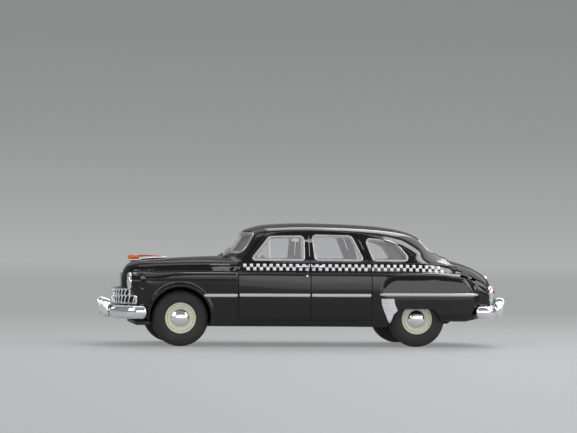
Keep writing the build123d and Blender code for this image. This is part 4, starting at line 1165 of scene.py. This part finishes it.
tucked("base_plate", "underbody", PLASTIC)
tucked("base_screws", "underbody_screws", STEEL)
PIPE_Y = 6.2
PIPE_LINE = ((-18.0, 6.0), (0.0, 6.0), (41.0, 6.0), (45.5, 8.3), (52.0, 8.7), (58.5, 9.7))
pipe = np.insert(curve(PIPE_LINE), 1, PIPE_Y, axis=1)
silencer = dense(((2.0, PIPE_Y, 6.3), (16.0, PIPE_Y, 6.3)), 0.35)
run = np.linspace(0, 1, len(silencer))
ends = np.sqrt(np.clip(np.minimum(run, 1 - run) * 18, 0.06, 1.0))
exhaust = [sweep(pipe, np.tile((0.0, 0.0, 1.0), (len(pipe), 1)), 0.55, 0.5, ring=14),
           sweep(silencer, np.tile((0.0, 0.0, 1.0), (len(silencer), 1)), 1.5, 0.8, ring=20, scale=ends)]
piece(merged(exhaust), "exhaust_pipe", EXHAUST, "exhaust", angle=50)

# What stays as in the frame gets its finish
FINISHES = {
    "interior_tub": DARK_TRIM, "dashboard": DARK_TRIM, "side_panes": GLASS, "windscreen": GLASS,
    "rear_window": GLASS, "rear_number_plate": PLATE, "filler_lid": PAINT, "front_axle": STEEL,
    "rear_axle": STEEL,
}
for node, mat in FINISHES.items():
    paint(NODES[node], mat)

# Stage: a floor that curves up into a backdrop, in m. Its first two fifths are flat and its last is upright.
FLOOR_FRONT, FLOOR_BACK, FLOOR_R, WALL, FLOOR_HALF = -1.6, 1.0, 0.6, 1.6, 2.5
floor = []
for t in np.linspace(0, 1, 25):
    a = np.clip((t - 0.4) / 0.4, 0, 1) * math.pi / 2
    y = FLOOR_BACK + FLOOR_R * math.sin(a) - max(0.4 - t, 0) / 0.4 * (FLOOR_BACK - FLOOR_FRONT)
    z = FLOOR_R * (1 - math.cos(a)) + max(t - 0.8, 0) / 0.2 * WALL
    floor += [(side * FLOOR_HALF / MM, y / MM, z / MM) for side in (-1, 1)]
ground = mesh_object("studio floor", floor, [(i, i + 1, i + 3, i + 2) for i in range(0, len(floor) - 2, 2)])
FLOOR_GREY = 0.52
SHADOW_FILL = 0.38
FLOOR = material("pale floor", (0.40, 0.412, 0.416), 0.6)


def backdrop(mat, stops, near, far):
    """Turns the floor into a grey backdrop behind the car, as the camera, metal and glass see it. Its greys
    change by height, which is painted light and shade, and a share of even painted glow lightens the car's
    shadow on the floor.
    """
    nt = mat.node_tree
    top = stops[-1][0]
    place = add_node(nt, "ShaderNodeNewGeometry", {}, "Position")
    split = nt.nodes.new("ShaderNodeSeparateXYZ")
    connect(nt, split, {"Vector": place})
    reach = {"Value": split.outputs["Y"], "From Min": near, "From Max": far}
    depth = add_node(nt, "ShaderNodeMapRange", reach, "Result", interpolation_type="SMOOTHSTEP")
    height = add_node(nt, "ShaderNodeMapRange", {"Value": split.outputs["Z"], "From Max": top}, "Result")
    ramp = nt.nodes.new("ShaderNodeValToRGB")
    connect(nt, ramp, {"Fac": height})
    elements = ramp.color_ramp.elements
    elements.remove(elements[1])
    for i, (z, grey) in enumerate(stops):
        stop = elements[0] if i == 0 else elements.new(z / top)
        stop.position = z / top
        stop.color = (grey * 0.97, grey, grey * 0.99, 1)
    glow = add_node(nt, "ShaderNodeEmission", {"Color": ramp.outputs["Color"]}, "Emission")
    path = nt.nodes.new("ShaderNodeLightPath").outputs
    rays = {0: path["Is Camera Ray"], 1: path["Is Glossy Ray"]}
    seen = add_node(nt, "ShaderNodeMath", rays, "Value", operation="MAXIMUM")
    rays = {0: seen, 1: path["Is Transmission Ray"]}
    seen = add_node(nt, "ShaderNodeMath", rays, "Value", operation="MAXIMUM")
    share = add_node(nt, "ShaderNodeMath", {0: seen, 1: depth}, "Value", operation="MULTIPLY")
    fill_color = (FLOOR_GREY * 0.97, FLOOR_GREY * 0.99, FLOOR_GREY, 1)
    fill = add_node(nt, "ShaderNodeEmission", {"Color": fill_color}, "Emission")
    shader = nt.nodes["Principled BSDF"].outputs["BSDF"]
    lit = add_node(nt, "ShaderNodeMixShader", {"Fac": SHADOW_FILL, 1: shader, 2: fill}, "Shader")
    mix = add_node(nt, "ShaderNodeMixShader", {"Fac": share, 1: lit, 2: glow}, "Shader")
    connect(nt, nt.nodes["Material Output"], {"Surface": mix})


# Greys of the backdrop as (height above the floor in m, brightness): painted light and shade, brightest just
# above the floor and darker upwards
BACKDROP = ((0.0, 0.385), (0.012, 0.44), (0.05, 0.385), (0.11, 0.315), (0.16, 0.29), (0.2, 0.27), (0.5, 0.22))
backdrop(FLOOR, BACKDROP, -0.15, 0.42)
paint(ground, FLOOR)


# Lights, in m and W
def soft_light(name, place, target, size_x, size_y, power):
    data = bpy.data.lights.new(name, "AREA")
    data.shape = "RECTANGLE"
    data.size, data.size_y = size_x, size_y
    data.energy = power
    ob = bpy.data.objects.new(name, data)
    scene.collection.objects.link(ob)
    ob.location = place
    ob.rotation_euler = (Vector(target) - ob.location).to_track_quat("-Z", "Y").to_euler()


# Soft boxes over and behind the car, brighter towards its tail: rows of (x from, x to, brightness),
# and for each set its name, y, z and depth
OVERHEAD = ((-0.4, 0.3, 1.4), (0.3, 0.8, 7.0))
BEHIND = ((-0.5, 0.04, 0.6), (0.04, 0.15, 2.8), (0.15, 0.42, 4.2), (0.42, 0.95, 1.3))
BOXES = (("overhead", 0.0, 0.74, 0.24, OVERHEAD), ("behind", 0.577, 0.664, 0.62, BEHIND))
for name, y, z, depth, rows in BOXES:
    for x0, x1, bright in rows:
        middle = (x0 + x1) / 2
        power = bright * math.pi * (x1 - x0) * depth
        soft_light(name, (middle, y, z), (middle, 0, 0), x1 - x0, depth, power)
TARGET = (0, 0, 0.02)
soft_light("low front", (0.3, -1.35, 0.26), TARGET, 2.5, 0.3, 5.0)
soft_light("low front foot", (0.3, -1.35, 0.06), TARGET, 2.5, 0.1, 1.0)
soft_light("front left", (-0.75, -0.45, 0.45), TARGET, 0.5, 0.5, 2.6)
soft_light("right", (0.8, -0.35, 0.45), TARGET, 0.5, 0.5, 3.2)
world = bpy.data.worlds.new("studio")
scene.world = world
world.use_nodes = True
sky = world.node_tree.nodes["Background"]
connect(world.node_tree, sky, {"Color": (0.63, 0.64, 0.65, 1), "Strength": 0.42})

# Camera, fitted to the photograph: focal length in its pixels, place in m and angles in radians
PHOTO_WIDTH_PX = 577
FOCAL_PX = 2691.49
CAMERA_PLACE = (-0.11957868, -0.85027137, 0.03633032)
YAW, PITCH, ROLL = 0.13518414, 0.00508365, 0.00924045
cam_data = bpy.data.cameras.new("camera")
cam_data.sensor_width = 36.0
cam_data.lens = FOCAL_PX / PHOTO_WIDTH_PX * cam_data.sensor_width
cam_data.clip_start, cam_data.clip_end = 0.05, 20.0
camera = bpy.data.objects.new("camera", cam_data)
scene.collection.objects.link(camera)
scene.camera = camera
forward = Vector((math.sin(YAW) * math.cos(PITCH), math.cos(YAW) * math.cos(PITCH), math.sin(PITCH)))
level = Vector((math.cos(YAW), -math.sin(YAW), 0))
upright = level.cross(forward)
right = level * math.cos(ROLL) + upright * math.sin(ROLL)
up = upright * math.cos(ROLL) - level * math.sin(ROLL)
camera.matrix_world = Matrix.Translation(CAMERA_PLACE) @ Matrix((right, up, -forward)).transposed().to_4x4()
scene.view_settings.view_transform = "Standard"
